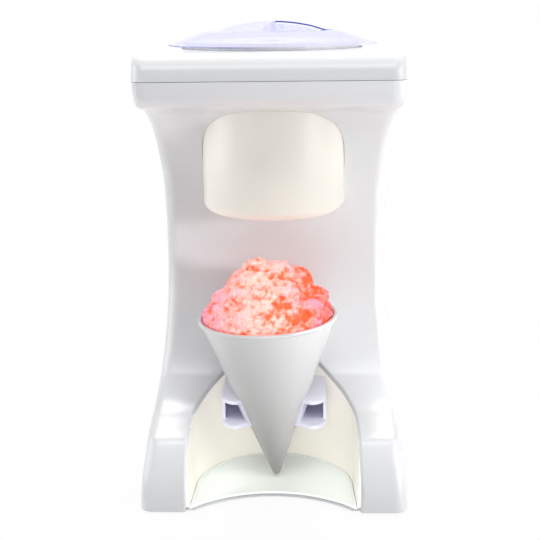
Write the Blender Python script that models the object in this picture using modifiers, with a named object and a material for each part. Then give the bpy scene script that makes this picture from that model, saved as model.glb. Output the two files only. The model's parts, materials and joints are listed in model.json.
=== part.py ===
"""Electric snow cone machine with a press-down lid, built as separate pieces.

Metres, +Z up, the front faces -Y. The origin is the middle of the footprint on the table.
"""

import math

import bmesh
import bpy
import numpy as np
from mathutils import Matrix, Vector

# Clearances
FIT = 0.0003  # gap kept between two seated pieces
RUN = 0.0003  # radial gap of a shaft in its bore
BACKLASH = 0.00018  # taken off each gear tooth flank
EPS = 0.002  # how far a cutter passes the face it cuts
PAST = 0.01  # how far the alcove's plan runs past the front plane
REACH = 0.4  # half size of a cutter that passes the whole object

# Housing
WALL = 0.0026
HEIGHT_FEET = 0.0012  # rubber feet below the housing
SEAM_Z = 0.2874  # split between housing and top cover
COVER_TOP_Z = SEAM_Z + 0.0166
FRONT_Y = -0.107
BACK_Y = 0.107
WAIST_FRONT_Y = -0.005
WAIST_BACK_Y = 0.084
TOP_BACK_Y = 0.092
TOP_HALF_WIDTH = 0.0845
WAIST_HALF_WIDTH = 0.0793
FOOT_HALF_WIDTH = 0.0905
CORNER_R = 0.009
COVER_EDGE_R = 0.0035  # side edges of the top cover
SPLIT_Y = 0.030  # plane where front and rear housing meet
VENT_ROWS = 7
VENT_HALF_WIDTH = 0.028
VENT_H = 0.004
VENT_STEP = 0.009
VENT_LOW_Z = 0.085
GLAND_R = 0.0065
GLAND_BORE_R = 0.0035
GLAND_FLANGE = 0.003  # how far the gland's head passes its neck, and its thickness
GLAND_L = 0.016
GLAND_X = 0.045
GLAND_Z = 0.055
# Share of the height, share of the way from the front plane back to the waist
FRONT_SHAPE = (
    (0.0, 0.0),
    (0.042, 0.0),
    (0.157, 0.167),
    (0.181, 0.36),
    (0.195, 0.49),
    (0.216, 0.61),
    (0.2575, 0.765),
    (0.348, 0.912),
    (0.522, 1.0),
    (0.696, 0.97),
    (0.818, 0.823),
    (0.870, 0.686),
    (0.905, 0.529),
    (0.9186, 0.451),
    (0.9245, 0.394),
    (0.931, 0.29),
    (0.937, 0.19),
    (0.9447, 0.093),
    (0.969, 0.0245),
    (1.0, 0.0),
)
# Share of the height, share of the way from the waist width out to the foot width
FOOT_FLARE = (
    (0.0, 1.0),
    (0.06, 0.91),
    (0.14, 0.68),
    (0.22, 0.51),
    (0.33, 0.25),
    (0.42, 0.10),
    (0.52, 0.03),
    (0.65, 0.0),
)
# Share of the height, share of the way from the waist width out to the top width
TOP_FLARE = (
    (0.60, 0.0),
    (0.73, 0.13),
    (0.815, 0.42),
    (0.87, 0.60),
    (0.94, 0.81),
    (1.0, 1.0),
)

# Vertical axis shared by lid, hopper, blade disc and snow chamber
AXIS_Y = -0.017

# Snow chamber, the ivory drum
CHAMBER_R = 0.0494
CHAMBER_WALL = 0.0024
CHAMBER_FLOOR_Z = SEAM_Z - 0.0954
CHAMBER_TOP_Z = SEAM_Z - 0.0167
CHAMBER_EDGE_R = 0.007
OUTLET_R_IN = 0.015
OUTLET_R_OUT = CHAMBER_R - 0.0084
OUTLET_HALF_ANGLE = math.radians(62)
SNOW_ROOM_H = 0.0111  # room for the snow between the chamber floor and the ring gear

# Blade disc and gears
RING_TEETH = 56
PINION_TEETH = 24
RING_SIDE_GAP = 0.005  # from the ring gear's pitch circle out to the drum's wall
GEAR_MODULE = (CHAMBER_R - CHAMBER_WALL - RING_SIDE_GAP) / (RING_TEETH / 2)
PRESSURE_ANGLE = math.radians(20)
ADDENDUM = 0.9  # tooth height outside the pitch circle, in modules
DEDENDUM = 1.2
GEAR_Z = CHAMBER_FLOOR_Z + CHAMBER_WALL + SNOW_ROOM_H
GEAR_H = 0.008
RING_W = 0.0055  # from the pitch circle in to the ring's bore
DISC_R = CHAMBER_R - 0.0069
DISC_T = 0.002
DISC_TOP_Z = GEAR_Z + GEAR_H + FIT + DISC_T
SPINDLE_R = 0.003
HUB_R = 0.008
BUSH_T = 0.0022
BOSS_H = 0.005  # bearing boss below the chamber floor
HUB_LIFT = 0.0015  # gap of the hub and the vanes above the chamber floor
BLADE_IN_R = 0.011  # where blades and slots start
BLADE_L = DISC_R - BLADE_IN_R - 0.0065
BLADE_W = 0.009
BLADE_T = 0.001
NUT_H = 0.0072

# Motor
MOTOR_R = 0.028
MOTOR_H = 0.078
MOTOR_SHAFT_R = 0.0025
MOTOR_NOSE_R = 0.009
BELL_H = 0.012
MOTOR_SCREW_R = 0.0155
FAN_R = 0.024
FAN_H = 0.009
CASE_HALF_WIDTH = 0.025
CASE_WALL = 0.0022
CASE_FLOOR_Z = GEAR_Z - 0.0165
CASE_TOP_Z = GEAR_Z + GEAR_H + 0.0055
PINION_TIP_R = (PINION_TEETH / 2 + ADDENDUM) * GEAR_MODULE
MOTOR_Y = AXIS_Y + (RING_TEETH + PINION_TEETH) * GEAR_MODULE / 2
CASE_BACK_Y = MOTOR_Y + PINION_TIP_R + 0.005
SCREW_R = 0.0015
SCREW_HEAD_R = 0.0029
SCREW_HEAD_H = 0.0018

# Hopper
HOPPER_THROAT_R = DISC_R + 0.0017
LEDGE_W = 0.0173
HOPPER_R = HOPPER_THROAT_R + LEDGE_W  # inside radius of the mouth
HOPPER_WALL = 0.002
LEDGE_Z = CHAMBER_TOP_Z + 0.0043

# Lid
LID_R = HOPPER_R + 0.0099
LID_RIM_Z = COVER_TOP_Z + 0.002
LID_RIM_T = 0.0014
LID_SHOULDER_R = LID_R - 0.0234
LID_SHOULDER_Z = LID_RIM_Z + 0.0075
LID_CROWN_H = 0.0082  # the domed middle above the shoulder
LID_WALL = 0.0022
GRIP_HALF = 0.006  # half the width of the finger ridge
SCOOP_SIDE = 0.0068  # how far each scoop passes the middle
SKIRT_R = HOPPER_R - 0.002
INSERT_T = 0.002
PRESS_RING_Z = LEDGE_Z + 0.006
PRESS_RING_H = 0.005
PUSHER_R = HOPPER_THROAT_R - 0.0042
PUSHER_T = 0.0025
PUSHER_Z = DISC_TOP_Z + 0.0097
STEM_R = 0.007
STEM_TOP_Z = LEDGE_Z + 0.006
GUIDE_Z = LEDGE_Z - 0.013
GUIDE_T = 0.0025

# Springs
SPRING_WIRE_R = 0.0004
SPRING_R = 0.0032
PUSHER_SPRING_WIRE_R = 0.0005

# Interlock: a rod from the press ring down to the switch's button
ROD_Y = AXIS_Y + CHAMBER_R + 0.0041
ROD_R = 0.002
SWITCH_TOP_Z = PRESS_RING_Z - 0.019
SWITCH_H = 0.019
SWITCH_HALF_WIDTH = 0.0065
SWITCH_Y0 = ROD_Y - 0.0052
SWITCH_Y1 = ROD_Y + 0.0082
BUTTON_OUT = 0.002
BUTTON_H = 0.0062
BUTTON_R = ROD_R + 0.0002
BUTTON_ROOM = 0.0023  # free depth under the button, more than the lid's travel

# Alcove
ALCOVE_R = 0.0575
ALCOVE_Y = -0.0722
ALCOVE_MOUTH = 0.0589  # half width at the front plane
ALCOVE_SWEEP = 0.0023  # how far the foot of the wall sweeps in to the tray
ALCOVE_SWEEP_Z = 0.045  # height at which the wall becomes upright
LINER_T = 0.0022
LINER_TOP_Z = 0.112
PLATE_T = 0.0016
PLATE_Z = HEIGHT_FEET + 0.0002
FLOOR_Z = PLATE_Z + PLATE_T + FIT  # underside of the tray and of the alcove wall
TRAY_EDGE_R = 0.0785  # hollow front edge of the tray
TRAY_EDGE_Y = -0.0834
TRAY_T = 0.0015
TRAY_RIM_H = 0.0008
TRAY_RIM_W = 0.0016

# Feet
FOOT_X = FOOT_HALF_WIDTH - 0.0165
FOOT_Y = BACK_Y - 0.019
FOOT_R = 0.0075
FOOT_NECK_R = 0.0035
FOOT_HEAD_R = 0.0045

# Cone and its holder
CONE_R = 0.0471
CONE_LIP = 0.0009
CONE_RIM_Z = 0.1258
CONE_TIP_Z = 0.0069
CONE_TIP_R = 0.003
CONE_WALL = 0.0014
CONE_Y = -0.059
CONE_LEAN = math.radians(2.4)
CONE_FOOT_X = 0.0011
HOLDER_HALF_WIDTH = 0.0364
HOLDER_FRONT_Y = -0.0757
HOLDER_T = 0.0024
HOLDER_SIDE_T = 0.002
UPPER_DECK_Z = 0.0685
LOWER_DECK_Z = 0.0505
LOBE_X = 0.0265  # foremost point of each lobe
LOBE_L = 0.014  # length of a lobe's curved outer corner
LOBE_TIP_R = 0.005
LOBE_TURN = 33  # degrees by which a lobe's inner edge runs back to the cone
CONE_ROOM = 0.0013  # play of the cone in its decks
COLLAR_T = 0.0016
HOLDER_SCREW_X = 0.011
HOLDER_SCREW_R = 0.0018

# Shaved ice: crown height, then its profile and lumps in shares of the cone radius and crown height
ICE_H = 0.038
ICE_SHAPE = (
    (0.0, 0.95),
    (0.20, 0.92),
    (0.36, 0.84),
    (0.48, 0.70),
    (0.62, 0.52),
    (0.76, 0.33),
    (0.88, 0.15),
    (0.945, 0.03),
)
ICE_LUMPS = (
    (-0.13, 0.04, 0.78, 0.22),
    (0.19, -0.06, 0.74, 0.21),
    (0.47, 0.04, 0.60, 0.21),
    (0.70, -0.08, 0.28, 0.20),
    (-0.38, -0.04, 0.58, 0.19),
    (-0.64, -0.08, 0.29, 0.18),
    (-0.34, -0.42, 0.48, 0.19),
    (0.0, -0.50, 0.46, 0.21),
    (0.34, -0.42, 0.48, 0.20),
    (-0.62, -0.34, 0.15, 0.17),
    (0.62, -0.42, 0.17, 0.19),
    (0.0, -0.75, 0.14, 0.19),
    (-0.30, -0.69, 0.16, 0.18),
    (-0.32, 0.42, 0.48, 0.21),
    (0.26, 0.46, 0.48, 0.21),
    (0.0, 0.72, 0.18, 0.19),
    (-0.60, 0.42, 0.18, 0.19),
    (0.57, 0.42, 0.21, 0.19),
)

SMOOTH = 40  # facets round a turned piece that shows
PLAIN = 32  # facets round a turned piece inside
LOFT_STEP = 0.013  # step between the housing's rings


def clear_scene():
    for obj in list(bpy.data.objects):
        bpy.data.objects.remove(obj, do_unlink=True)


def new_collection(name, shown):
    made = bpy.data.collections.new(name)
    bpy.context.scene.collection.children.link(made)
    made.hide_render = not shown
    return made


clear_scene()
PARTS = new_collection("snow_cone_machine", True)
CUTTERS = new_collection("cutters", False)


def plastic(name, colour, roughness=0.3, metallic=0.0, alpha=1.0):
    made = bpy.data.materials.new(name)
    made.use_nodes = True
    shader = made.node_tree.nodes["Principled BSDF"]
    shader.inputs["Base Color"].default_value = (*colour, 1.0)
    shader.inputs["Roughness"].default_value = roughness
    shader.inputs["Metallic"].default_value = metallic
    shader.inputs["Alpha"].default_value = alpha
    return made


WHITE = plastic("white_abs", (0.83, 0.84, 0.86), 0.18)
IVORY = plastic("ivory_abs", (0.87, 0.85, 0.76), 0.2)
HOLDER_PLASTIC = plastic("holder_plastic", (0.72, 0.72, 0.80), 0.25)
LID_PLASTIC = plastic("lid_plastic", (0.55, 0.58, 0.80), 0.1, alpha=0.5)
TRAY_PLASTIC = plastic("tray_plastic", (0.80, 0.87, 0.84), 0.12)
CONE_PLASTIC = plastic("cone_plastic", (0.82, 0.82, 0.82), 0.25)
ICE = plastic("shaved_ice", (0.93, 0.38, 0.30), 0.5)
STEEL = plastic("steel", (0.60, 0.60, 0.61), 0.3, 1.0)
BRASS = plastic("brass", (0.72, 0.55, 0.28), 0.3, 1.0)
ACETAL = plastic("acetal", (0.86, 0.86, 0.84), 0.35)
BLACK = plastic("black_plastic", (0.03, 0.03, 0.03), 0.4)
RUBBER = plastic("rubber", (0.10, 0.10, 0.10), 0.8)


def place(name, mesh, material, at=(0, 0, 0), keep=True):
    """Make an object of a mesh, as a part or as a hidden cutter."""
    obj = bpy.data.objects.new(name, mesh)
    obj.location = at
    if material:
        mesh.materials.append(material)
    (PARTS if keep else CUTTERS).objects.link(obj)
    if not keep:
        obj.hide_render = True
        obj.display_type = "WIRE"
    return obj


def mesh_of(name, bm):
    mesh = bpy.data.meshes.new(name)
    bmesh.ops.recalc_face_normals(bm, faces=bm.faces)
    bm.to_mesh(mesh)
    bm.free()
    return mesh


def soften(obj, angle=35):
    obj.data.shade_smooth()
    obj.data.set_sharp_from_angle(angle=math.radians(angle))
    return obj


def box(name, low, high, material=None, keep=False):
    size = Vector(high) - Vector(low)
    middle = (Vector(high) + Vector(low)) / 2
    bm = bmesh.new()
    bmesh.ops.create_cube(bm, size=1.0)
    bmesh.ops.scale(bm, vec=size, verts=bm.verts)
    return place(name, mesh_of(name, bm), material, middle, keep)


def rod(name, radius, z0, z1, x=0.0, y=0.0, material=None, keep=False, sides=20):
    """A vertical cylinder."""
    bm = bmesh.new()
    bmesh.ops.create_cone(bm, cap_ends=True, segments=sides, radius1=radius, radius2=radius, depth=z1 - z0)
    return place(name, mesh_of(name, bm), material, (x, y, (z0 + z1) / 2), keep)


def turned(name, profile, at=(0, 0, 0), material=None, keep=False, steps=SMOOTH):
    """Turn a profile of (radius, height) about Z. A profile that starts and ends off the axis is closed."""
    mesh = bpy.data.meshes.new(name)
    loop = profile[0][0] > 0 or profile[-1][0] > 0
    count = len(profile)
    edges = [(i, i + 1) for i in range(count - 1)]
    if loop:
        edges.append((count - 1, 0))
    mesh.from_pydata([(r, 0, z) for r, z in profile], edges, [])
    obj = place(name, mesh, material, at, keep)
    screw = obj.modifiers.new("turn", "SCREW")
    screw.steps = steps
    screw.render_steps = steps
    screw.use_merge_vertices = True
    screw.merge_threshold = 0.00001
    screw.use_smooth_shade = True
    return obj


def arc(cx, cy, radius, start, end, count):
    """Points on an arc, both ends included, angles in degrees."""
    angles = [math.radians(start + (end - start) * i / count) for i in range(count + 1)]
    return [(cx + radius * math.cos(a), cy + radius * math.sin(a)) for a in angles]


def plate(name, outline, z0, z1, material=None, keep=False, at=(0, 0, 0)):
    """A flat outline extruded from z0 to z1, as a welded mesh."""
    curve = bpy.data.curves.new(name, "CURVE")
    curve.dimensions = "2D"
    curve.fill_mode = "BOTH"
    curve.extrude = (z1 - z0) / 2
    spline = curve.splines.new("POLY")
    spline.points.add(len(outline) - 1)
    for point, (x, y) in zip(spline.points, outline):
        point.co = (x, y, 0, 1)
    spline.use_cyclic_u = True
    guide = bpy.data.objects.new(name + "_curve", curve)
    CUTTERS.objects.link(guide)
    bpy.context.view_layer.update()
    graph = bpy.context.evaluated_depsgraph_get()
    mesh = bpy.data.meshes.new_from_object(guide.evaluated_get(graph))
    bpy.data.objects.remove(guide, do_unlink=True)
    mesh.materials.clear()
    bm = bmesh.new()
    bm.from_mesh(mesh)
    bmesh.ops.remove_doubles(bm, verts=bm.verts, dist=0.000001)
    bmesh.ops.dissolve_limit(bm, angle_limit=0.001, verts=bm.verts, edges=bm.edges)
    bmesh.ops.translate(bm, verts=bm.verts, vec=(0, 0, (z0 + z1) / 2))
    bmesh.ops.recalc_face_normals(bm, faces=bm.faces)
    bm.to_mesh(mesh)
    bm.free()
    return place(name, mesh, material, at, keep)


def loft(name, rings, material=None, keep=False):
    """Skin rings of equal point count, listed from the bottom up, and cap both ends."""
    bm = bmesh.new()
    rows = [[bm.verts.new(p) for p in ring] for ring in rings]
    for low, high in zip(rows, rows[1:]):
        for i in range(len(low)):
            j = (i + 1) % len(low)
            bm.faces.new((low[i], low[j], high[j], high[i]))
    bm.faces.new(list(reversed(rows[0])))
    bm.faces.new(rows[-1])
    return place(name, mesh_of(name, bm), material, keep=keep)


def boolean(obj, other, operation):
    step = obj.modifiers.new(operation.lower(), "BOOLEAN")
    step.operation = operation
    step.object = other
    return obj


def cut(obj, *cutters):
    for other in cutters:
        boolean(obj, other, "DIFFERENCE")
    return obj


def join(obj, *others):
    for other in others:
        boolean(obj, other, "UNION")
    return obj


def wire(name, points, radius, material):
    """A round wire along points, with filled caps."""
    curve = bpy.data.curves.new(name, "CURVE")
    curve.dimensions = "3D"
    curve.bevel_depth = radius
    curve.bevel_resolution = 1
    curve.use_fill_caps = True
    spline = curve.splines.new("POLY")
    spline.points.add(len(points) - 1)
    for point, co in zip(spline.points, points):
        point.co = (*co, 1)
    obj = bpy.data.objects.new(name, curve)
    curve.materials.append(material)
    PARTS.objects.link(obj)
    return obj


def smooth(table, x):
    """Monotone cubic through (x, y) pairs, so that a curve never overshoots its points."""
    xs = np.array([p[0] for p in table], float)
    ys = np.array([p[1] for p in table], float)
    x = min(max(x, xs[0]), xs[-1])
    i = min(int(np.searchsorted(xs, x, side="right")) - 1, len(xs) - 2)
    steps = np.diff(ys) / np.diff(xs)

    def slope(k):
        if k in (0, len(xs) - 1):
            return steps[min(k, len(steps) - 1)]
        a, b = steps[k - 1], steps[k]
        return 0.0 if a * b <= 0 else 2 * a * b / (a + b)

    width = xs[i + 1] - xs[i]
    t = (x - xs[i]) / width
    rise = ys[i + 1] - ys[i]
    m0, m1 = slope(i) * width, slope(i + 1) * width
    return float(ys[i] + t * m0 + t * t * (3 * rise - 2 * m0 - m1) + t**3 * (m0 + m1 - 2 * rise))


def front_y(z):
    return FRONT_Y + (WAIST_FRONT_Y - FRONT_Y) * smooth(FRONT_SHAPE, z / SEAM_Z)


def back_y(z):
    share = z / SEAM_Z
    foot = BACK_Y - WAIST_BACK_Y
    top = TOP_BACK_Y - WAIST_BACK_Y
    low = smooth(((0, 1), (0.04, 1), (0.2, 0.55), (0.4, 0.12), (0.55, 0)), share)
    high = smooth(((0.55, 0), (0.8, 0.35), (1, 1)), share)
    return WAIST_BACK_Y + foot * low + top * high


def half_width(z):
    share = z / SEAM_Z
    foot = FOOT_HALF_WIDTH - WAIST_HALF_WIDTH
    top = TOP_HALF_WIDTH - WAIST_HALF_WIDTH
    return WAIST_HALF_WIDTH + foot * smooth(FOOT_FLARE, share) + top * smooth(TOP_FLARE, share)


def inset(outline, z, gap, sign):
    """The curve parallel to an outline at a gap: sign +1 moves it to larger values."""
    best = None
    for i in range(-8, 9):
        step = gap * i / 8
        value = outline(z + step) + sign * math.sqrt(max(gap * gap - step * step, 0.0))
        if best is None or sign * (value - best) > 0:
            best = value
    return best


def rounded_ring(half, y0, y1, radius, z, per_corner=3):
    """A rounded rectangle at height z, counter-clockwise from the front right corner."""
    ring = []
    corners = ((half - radius, y0 + radius, -90), (half - radius, y1 - radius, 0))
    corners += ((radius - half, y1 - radius, 90), (radius - half, y0 + radius, 180))
    for cx, cy, start in corners:
        ring += [(x, y, z) for x, y in arc(cx, cy, radius, start, start + 90, per_corner)]
    return ring


def housing_levels(low, high, plain):
    """Heights of the loft's rings: those of the front curve's points, and between points far apart."""
    if plain:
        return list(np.linspace(low, high, 16))
    levels = []
    shares = [share for share, _ in FRONT_SHAPE]
    for a, b in zip(shares, shares[1:]):
        run = math.hypot((b - a) * SEAM_Z, front_y(b * SEAM_Z) - front_y(a * SEAM_Z))
        parts = max(1, round(run / LOFT_STEP))
        levels += [(a + (b - a) * i / parts) * SEAM_Z for i in range(parts)]
    inside = [z for z in levels if low + 0.001 < z < high - 0.001]
    return [low, *inside, high]


def housing_body(name, gap, low, high, plain=False):
    """The housing's solid, its faces moved in by a gap. A plain one leaves out the front's detail."""
    rings = []
    for z in housing_levels(low, high, plain):
        half = inset(half_width, z, gap, -1) if gap else half_width(z)
        y0 = inset(front_y, z, gap, 1) if gap else front_y(z)
        y1 = inset(back_y, z, gap, -1) if gap else back_y(z)
        rings.append(rounded_ring(half, y0, y1, CORNER_R - gap, z))
    return loft(name, rings)


def alcove_outline(grow, sweep=0.0, past=PAST):
    """Plan of the alcove: a half round at the back, and slightly opening sides that run past the front."""
    opening = (ALCOVE_MOUTH - ALCOVE_R) / (ALCOVE_Y - FRONT_Y)
    mouth = ALCOVE_MOUTH + grow - sweep + opening * past
    back = arc(0, ALCOVE_Y - sweep, ALCOVE_R + grow - sweep, 0, 180, 24)
    return [(mouth, FRONT_Y - past), *back, (-mouth, FRONT_Y - past)]


def housings():
    low = HEIGHT_FEET
    high = SEAM_Z - FIT / 2
    hollows = (
        housing_body("front_hollow", WALL, low - EPS, high + EPS),
        housing_body("rear_hollow", WALL, low - EPS, high + EPS, True),
    )
    alcove = plate("alcove_cutter", alcove_outline(0.0), -EPS, LINER_TOP_Z)
    drum = rod("drum_cutter", CHAMBER_R + FIT, CHAMBER_FLOOR_Z - FIT, SEAM_Z + EPS, 0, AXIS_Y, sides=SMOOTH)
    behind = box("behind_split", (-REACH, SPLIT_Y - FIT / 2, -REACH), (REACH, REACH, REACH))
    before = box("before_split", (-REACH, -REACH, -REACH), (REACH, SPLIT_Y + FIT / 2, REACH))
    front = housing_body("front_housing", 0.0, low, high)
    rear = housing_body("rear_housing", 0.0, low, high, True)
    for obj, hollow in zip((front, rear), hollows):
        CUTTERS.objects.unlink(obj)
        PARTS.objects.link(obj)
        obj.hide_render = False
        obj.display_type = "TEXTURED"
        obj.data.materials.append(WHITE)
        soften(obj)
        cut(obj, hollow)
    cut(front, alcove, drum, behind)
    cut(rear, before)
    for i in range(VENT_ROWS):
        z = VENT_LOW_Z + i * VENT_STEP
        near = (WAIST_BACK_Y + SPLIT_Y) / 2
        cut(rear, box(f"vent_{i}", (-VENT_HALF_WIDTH, near, z), (VENT_HALF_WIDTH, REACH, z + VENT_H)))
    gland = rod("gland_hole", GLAND_R + FIT, -2 * GLAND_L, 2 * GLAND_L)
    cut(rear, on_back(gland, GLAND_X, GLAND_Z, 0.0))


def on_back(obj, x, z, out):
    """Stand an object's own Z on the rear wall, its origin a distance outside the wall."""
    step = 0.004
    slope = (back_y(z + step) - back_y(z - step)) / (2 * step)
    normal = Vector((0, 1, -slope)).normalized()
    obj.rotation_euler = (-math.atan2(normal.y, normal.z), 0, 0)
    obj.location = Vector((x, back_y(z), z)) + normal * out
    return obj


def cord_gland():
    half = GLAND_L / 2
    head = GLAND_R + GLAND_FLANGE
    neck = half - GLAND_FLANGE
    profile = [(GLAND_BORE_R, half), (head, half), (head, neck), (GLAND_R, neck), (GLAND_R, -half)]
    profile.append((GLAND_BORE_R, -half))
    gland = turned("cord_gland", profile, (0, 0, 0), BLACK, True, 16)
    on_back(gland, GLAND_X, GLAND_Z, GLAND_FLANGE + 2 * FIT - half)


def cover_rings(gap, low):
    """The top cover's rings: a quarter round along the front and back, small edges at the sides."""
    low = low - (EPS if gap else 0.0)
    edge = COVER_TOP_Z - SEAM_Z - gap
    top = COVER_TOP_Z - gap
    rings = [rounded_ring(TOP_HALF_WIDTH - gap, FRONT_Y + gap, TOP_BACK_Y - gap, CORNER_R - gap, low)]
    steps = 7
    for i in range(1, steps + 1):
        turn = math.pi / 2 * i / steps
        z = top - edge + edge * math.sin(turn)
        if z <= low + 0.0002:
            continue
        back = edge * (1 - math.cos(turn))
        rise = max(z - (top - COVER_EDGE_R), 0.0)
        side = COVER_EDGE_R - math.sqrt(max(COVER_EDGE_R**2 - rise**2, 0.0))
        y0 = FRONT_Y + gap + back
        y1 = TOP_BACK_Y - gap - back
        rings.append(rounded_ring(TOP_HALF_WIDTH - gap - side, y0, y1, CORNER_R - gap, z))
    return rings


def top_cover():
    low = SEAM_Z + FIT / 2
    cover = loft("top_cover", cover_rings(0.0, low), WHITE, True)
    hollow = loft("cover_hollow", cover_rings(WALL, low))
    mouth = rod("cover_mouth", HOPPER_R + FIT, SEAM_Z, COVER_TOP_Z + EPS, 0, AXIS_Y, sides=48)
    cut(cover, hollow, mouth)
    soften(cover)


def base_floor(name, z0, z1, gap):
    half = half_width(z0) - gap
    ring = rounded_ring(half, FRONT_Y + gap, BACK_Y - gap, CORNER_R - gap, 0)
    return plate(name, [(x, y) for x, y, _ in ring], z0, z1, WHITE, True)


def hollow_front(name, grow):
    """Cutter for the arc that hollows the front edge of the base plate and tray."""
    top = FLOOR_Z + TRAY_T + EPS
    return rod(name, TRAY_EDGE_R + grow, -EPS, top, 0, TRAY_EDGE_Y - TRAY_EDGE_R, sides=64)


def foot_places():
    return [(sx * FOOT_X, sy * FOOT_Y) for sy in (-1, 1) for sx in (-1, 1)]


def base_plate():
    plate_body = base_floor("base_plate", PLATE_Z, PLATE_Z + PLATE_T, WALL + FIT)
    cut(plate_body, hollow_front("plate_front", 0.0))
    for i, (x, y) in enumerate(foot_places()):
        cut(plate_body, rod(f"foot_hole_{i}", FOOT_NECK_R + FIT, -EPS, FLOOR_Z + EPS, x, y, sides=12))


def rubber_feet():
    for i, (x, y) in enumerate(foot_places()):
        top = PLATE_Z - FIT
        head = PLATE_Z + PLATE_T + FIT
        profile = [(0, head + 0.0015), (FOOT_HEAD_R, head + 0.0005), (FOOT_HEAD_R, head), (FOOT_NECK_R, head)]
        profile += [(FOOT_NECK_R, top), (FOOT_R, top), (FOOT_R, 0.0003), (FOOT_R - 0.0003, 0), (0, 0)]
        turned(f"rubber_foot_{i + 1}", profile, (x, y, 0), RUBBER, True, 12)


def sweep_at(z):
    """How far the alcove's wall is swept in at a height."""
    start = FLOOR_Z + TRAY_T
    share = min(max((z - start) / (ALCOVE_SWEEP_Z - start), 0.0), 1.0)
    return ALCOVE_SWEEP * (1 - share) ** 2


def alcove_liner():
    """Ivory wall of the alcove. It ends behind the housing's edge, and its foot sweeps in to the tray."""
    liner = plate("alcove_liner", alcove_outline(LINER_T), FLOOR_Z, LINER_TOP_Z, IVORY, True)
    start = FLOOR_Z + TRAY_T
    levels = [-EPS, *np.linspace(start, ALCOVE_SWEEP_Z, 5), LINER_TOP_Z + EPS]
    rings = [[(x, y, z) for x, y in alcove_outline(0.0, sweep_at(z), 2 * PAST)] for z in levels]
    inside = loft("liner_inside", rings)
    trim = housing_body("liner_trim", WALL + FIT, HEIGHT_FEET - EPS, SEAM_Z)
    boolean(liner, trim, "INTERSECT")
    cut(liner, inside)
    for i, (x, z) in enumerate(holder_screws()):
        cut(liner, wall_hole(f"liner_hole_{i}", x, z))
    soften(liner)


def holder_screws():
    middle = (UPPER_DECK_Z + LOWER_DECK_Z - HOLDER_T) / 2
    return [(-HOLDER_SCREW_X, middle), (HOLDER_SCREW_X, middle)]


def wall_hole(name, x, z):
    """Cutter of a screw hole through the back of the alcove."""
    wall = ALCOVE_Y + ALCOVE_R
    return across_y(name, HOLDER_SCREW_R, x, z, wall - 3 * LINER_T, wall + 3 * LINER_T)


def across_y(name, radius, x, z, y0, y1, material=None, keep=False, sides=16):
    """A cylinder along Y."""
    obj = rod(name, radius, 0, abs(y1 - y0), material=material, keep=keep, sides=sides)
    obj.rotation_euler = (math.pi / 2, 0, 0)
    obj.location = (x, (y0 + y1) / 2, z)
    return obj


def drip_tray():
    """Shallow tray that fills the alcove floor and slides out to the front."""
    top = FLOOR_Z + TRAY_T
    tray = plate("drip_tray", alcove_outline(-FIT, ALCOVE_SWEEP), FLOOR_Z, top, TRAY_PLASTIC, True)
    inside = alcove_outline(-FIT - TRAY_RIM_W, ALCOVE_SWEEP, 3 * PAST)
    dish = plate("tray_dish", inside, top - TRAY_RIM_H, top + 2 * EPS)
    cut(dish, hollow_front("tray_dish_front", TRAY_RIM_W))
    cut(tray, hollow_front("tray_front", 0.0), dish)


def cone_axis_x(z):
    return CONE_FOOT_X - math.tan(CONE_LEAN) * (z - CONE_TIP_Z)


def cone_radius(z):
    angle = cone_half_angle()
    return (z - CONE_TIP_Z - CONE_TIP_R + CONE_TIP_R / math.sin(angle)) * math.tan(angle)


def around_cone(name, grow, low, high):
    """Frustum about the leaning cone, its side a distance outside the cone's."""
    rings = []
    for z in (low, high):
        radius = cone_radius(z) + CONE_ROOM + grow
        turn = arc(cone_axis_x(z), CONE_Y, radius, 0, 360 - 360 / SMOOTH, SMOOTH - 1)
        rings.append([(x, y, z) for x, y in turn])
    return loft(name, rings)


def holder_back_reach():
    """Angle at which the holder's sides meet the alcove's wall."""
    return math.degrees(math.acos(HOLDER_HALF_WIDTH / (ALCOVE_R - FIT)))


def deck_outline():
    """Plan of a deck: the alcove's wall behind, straight sides, and two round lobes in front."""
    half = HOLDER_HALF_WIDTH
    reach = holder_back_reach()
    wall = arc(0, ALCOVE_Y, ALCOVE_R - FIT, reach, 180 - reach, 10)
    turns = [math.pi / 2 * i / 5 for i in range(6)]
    start = HOLDER_FRONT_Y + LOBE_L
    corner = [(LOBE_X + (half - LOBE_X) * math.cos(t), start - LOBE_L * math.sin(t)) for t in turns]
    tip = arc(LOBE_X, HOLDER_FRONT_Y + LOBE_TIP_R, LOBE_TIP_R, -90, -90 - LOBE_TURN, 2)
    inner_x = LOBE_X / 2
    inner_y = tip[-1][1] + (tip[-1][0] - inner_x) * math.tan(math.radians(LOBE_TURN))
    right = [*corner, *tip[1:], (inner_x, inner_y)]
    left = [(-x, y) for x, y in reversed(right)]
    return [*right, *left, *reversed(wall)]


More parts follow.
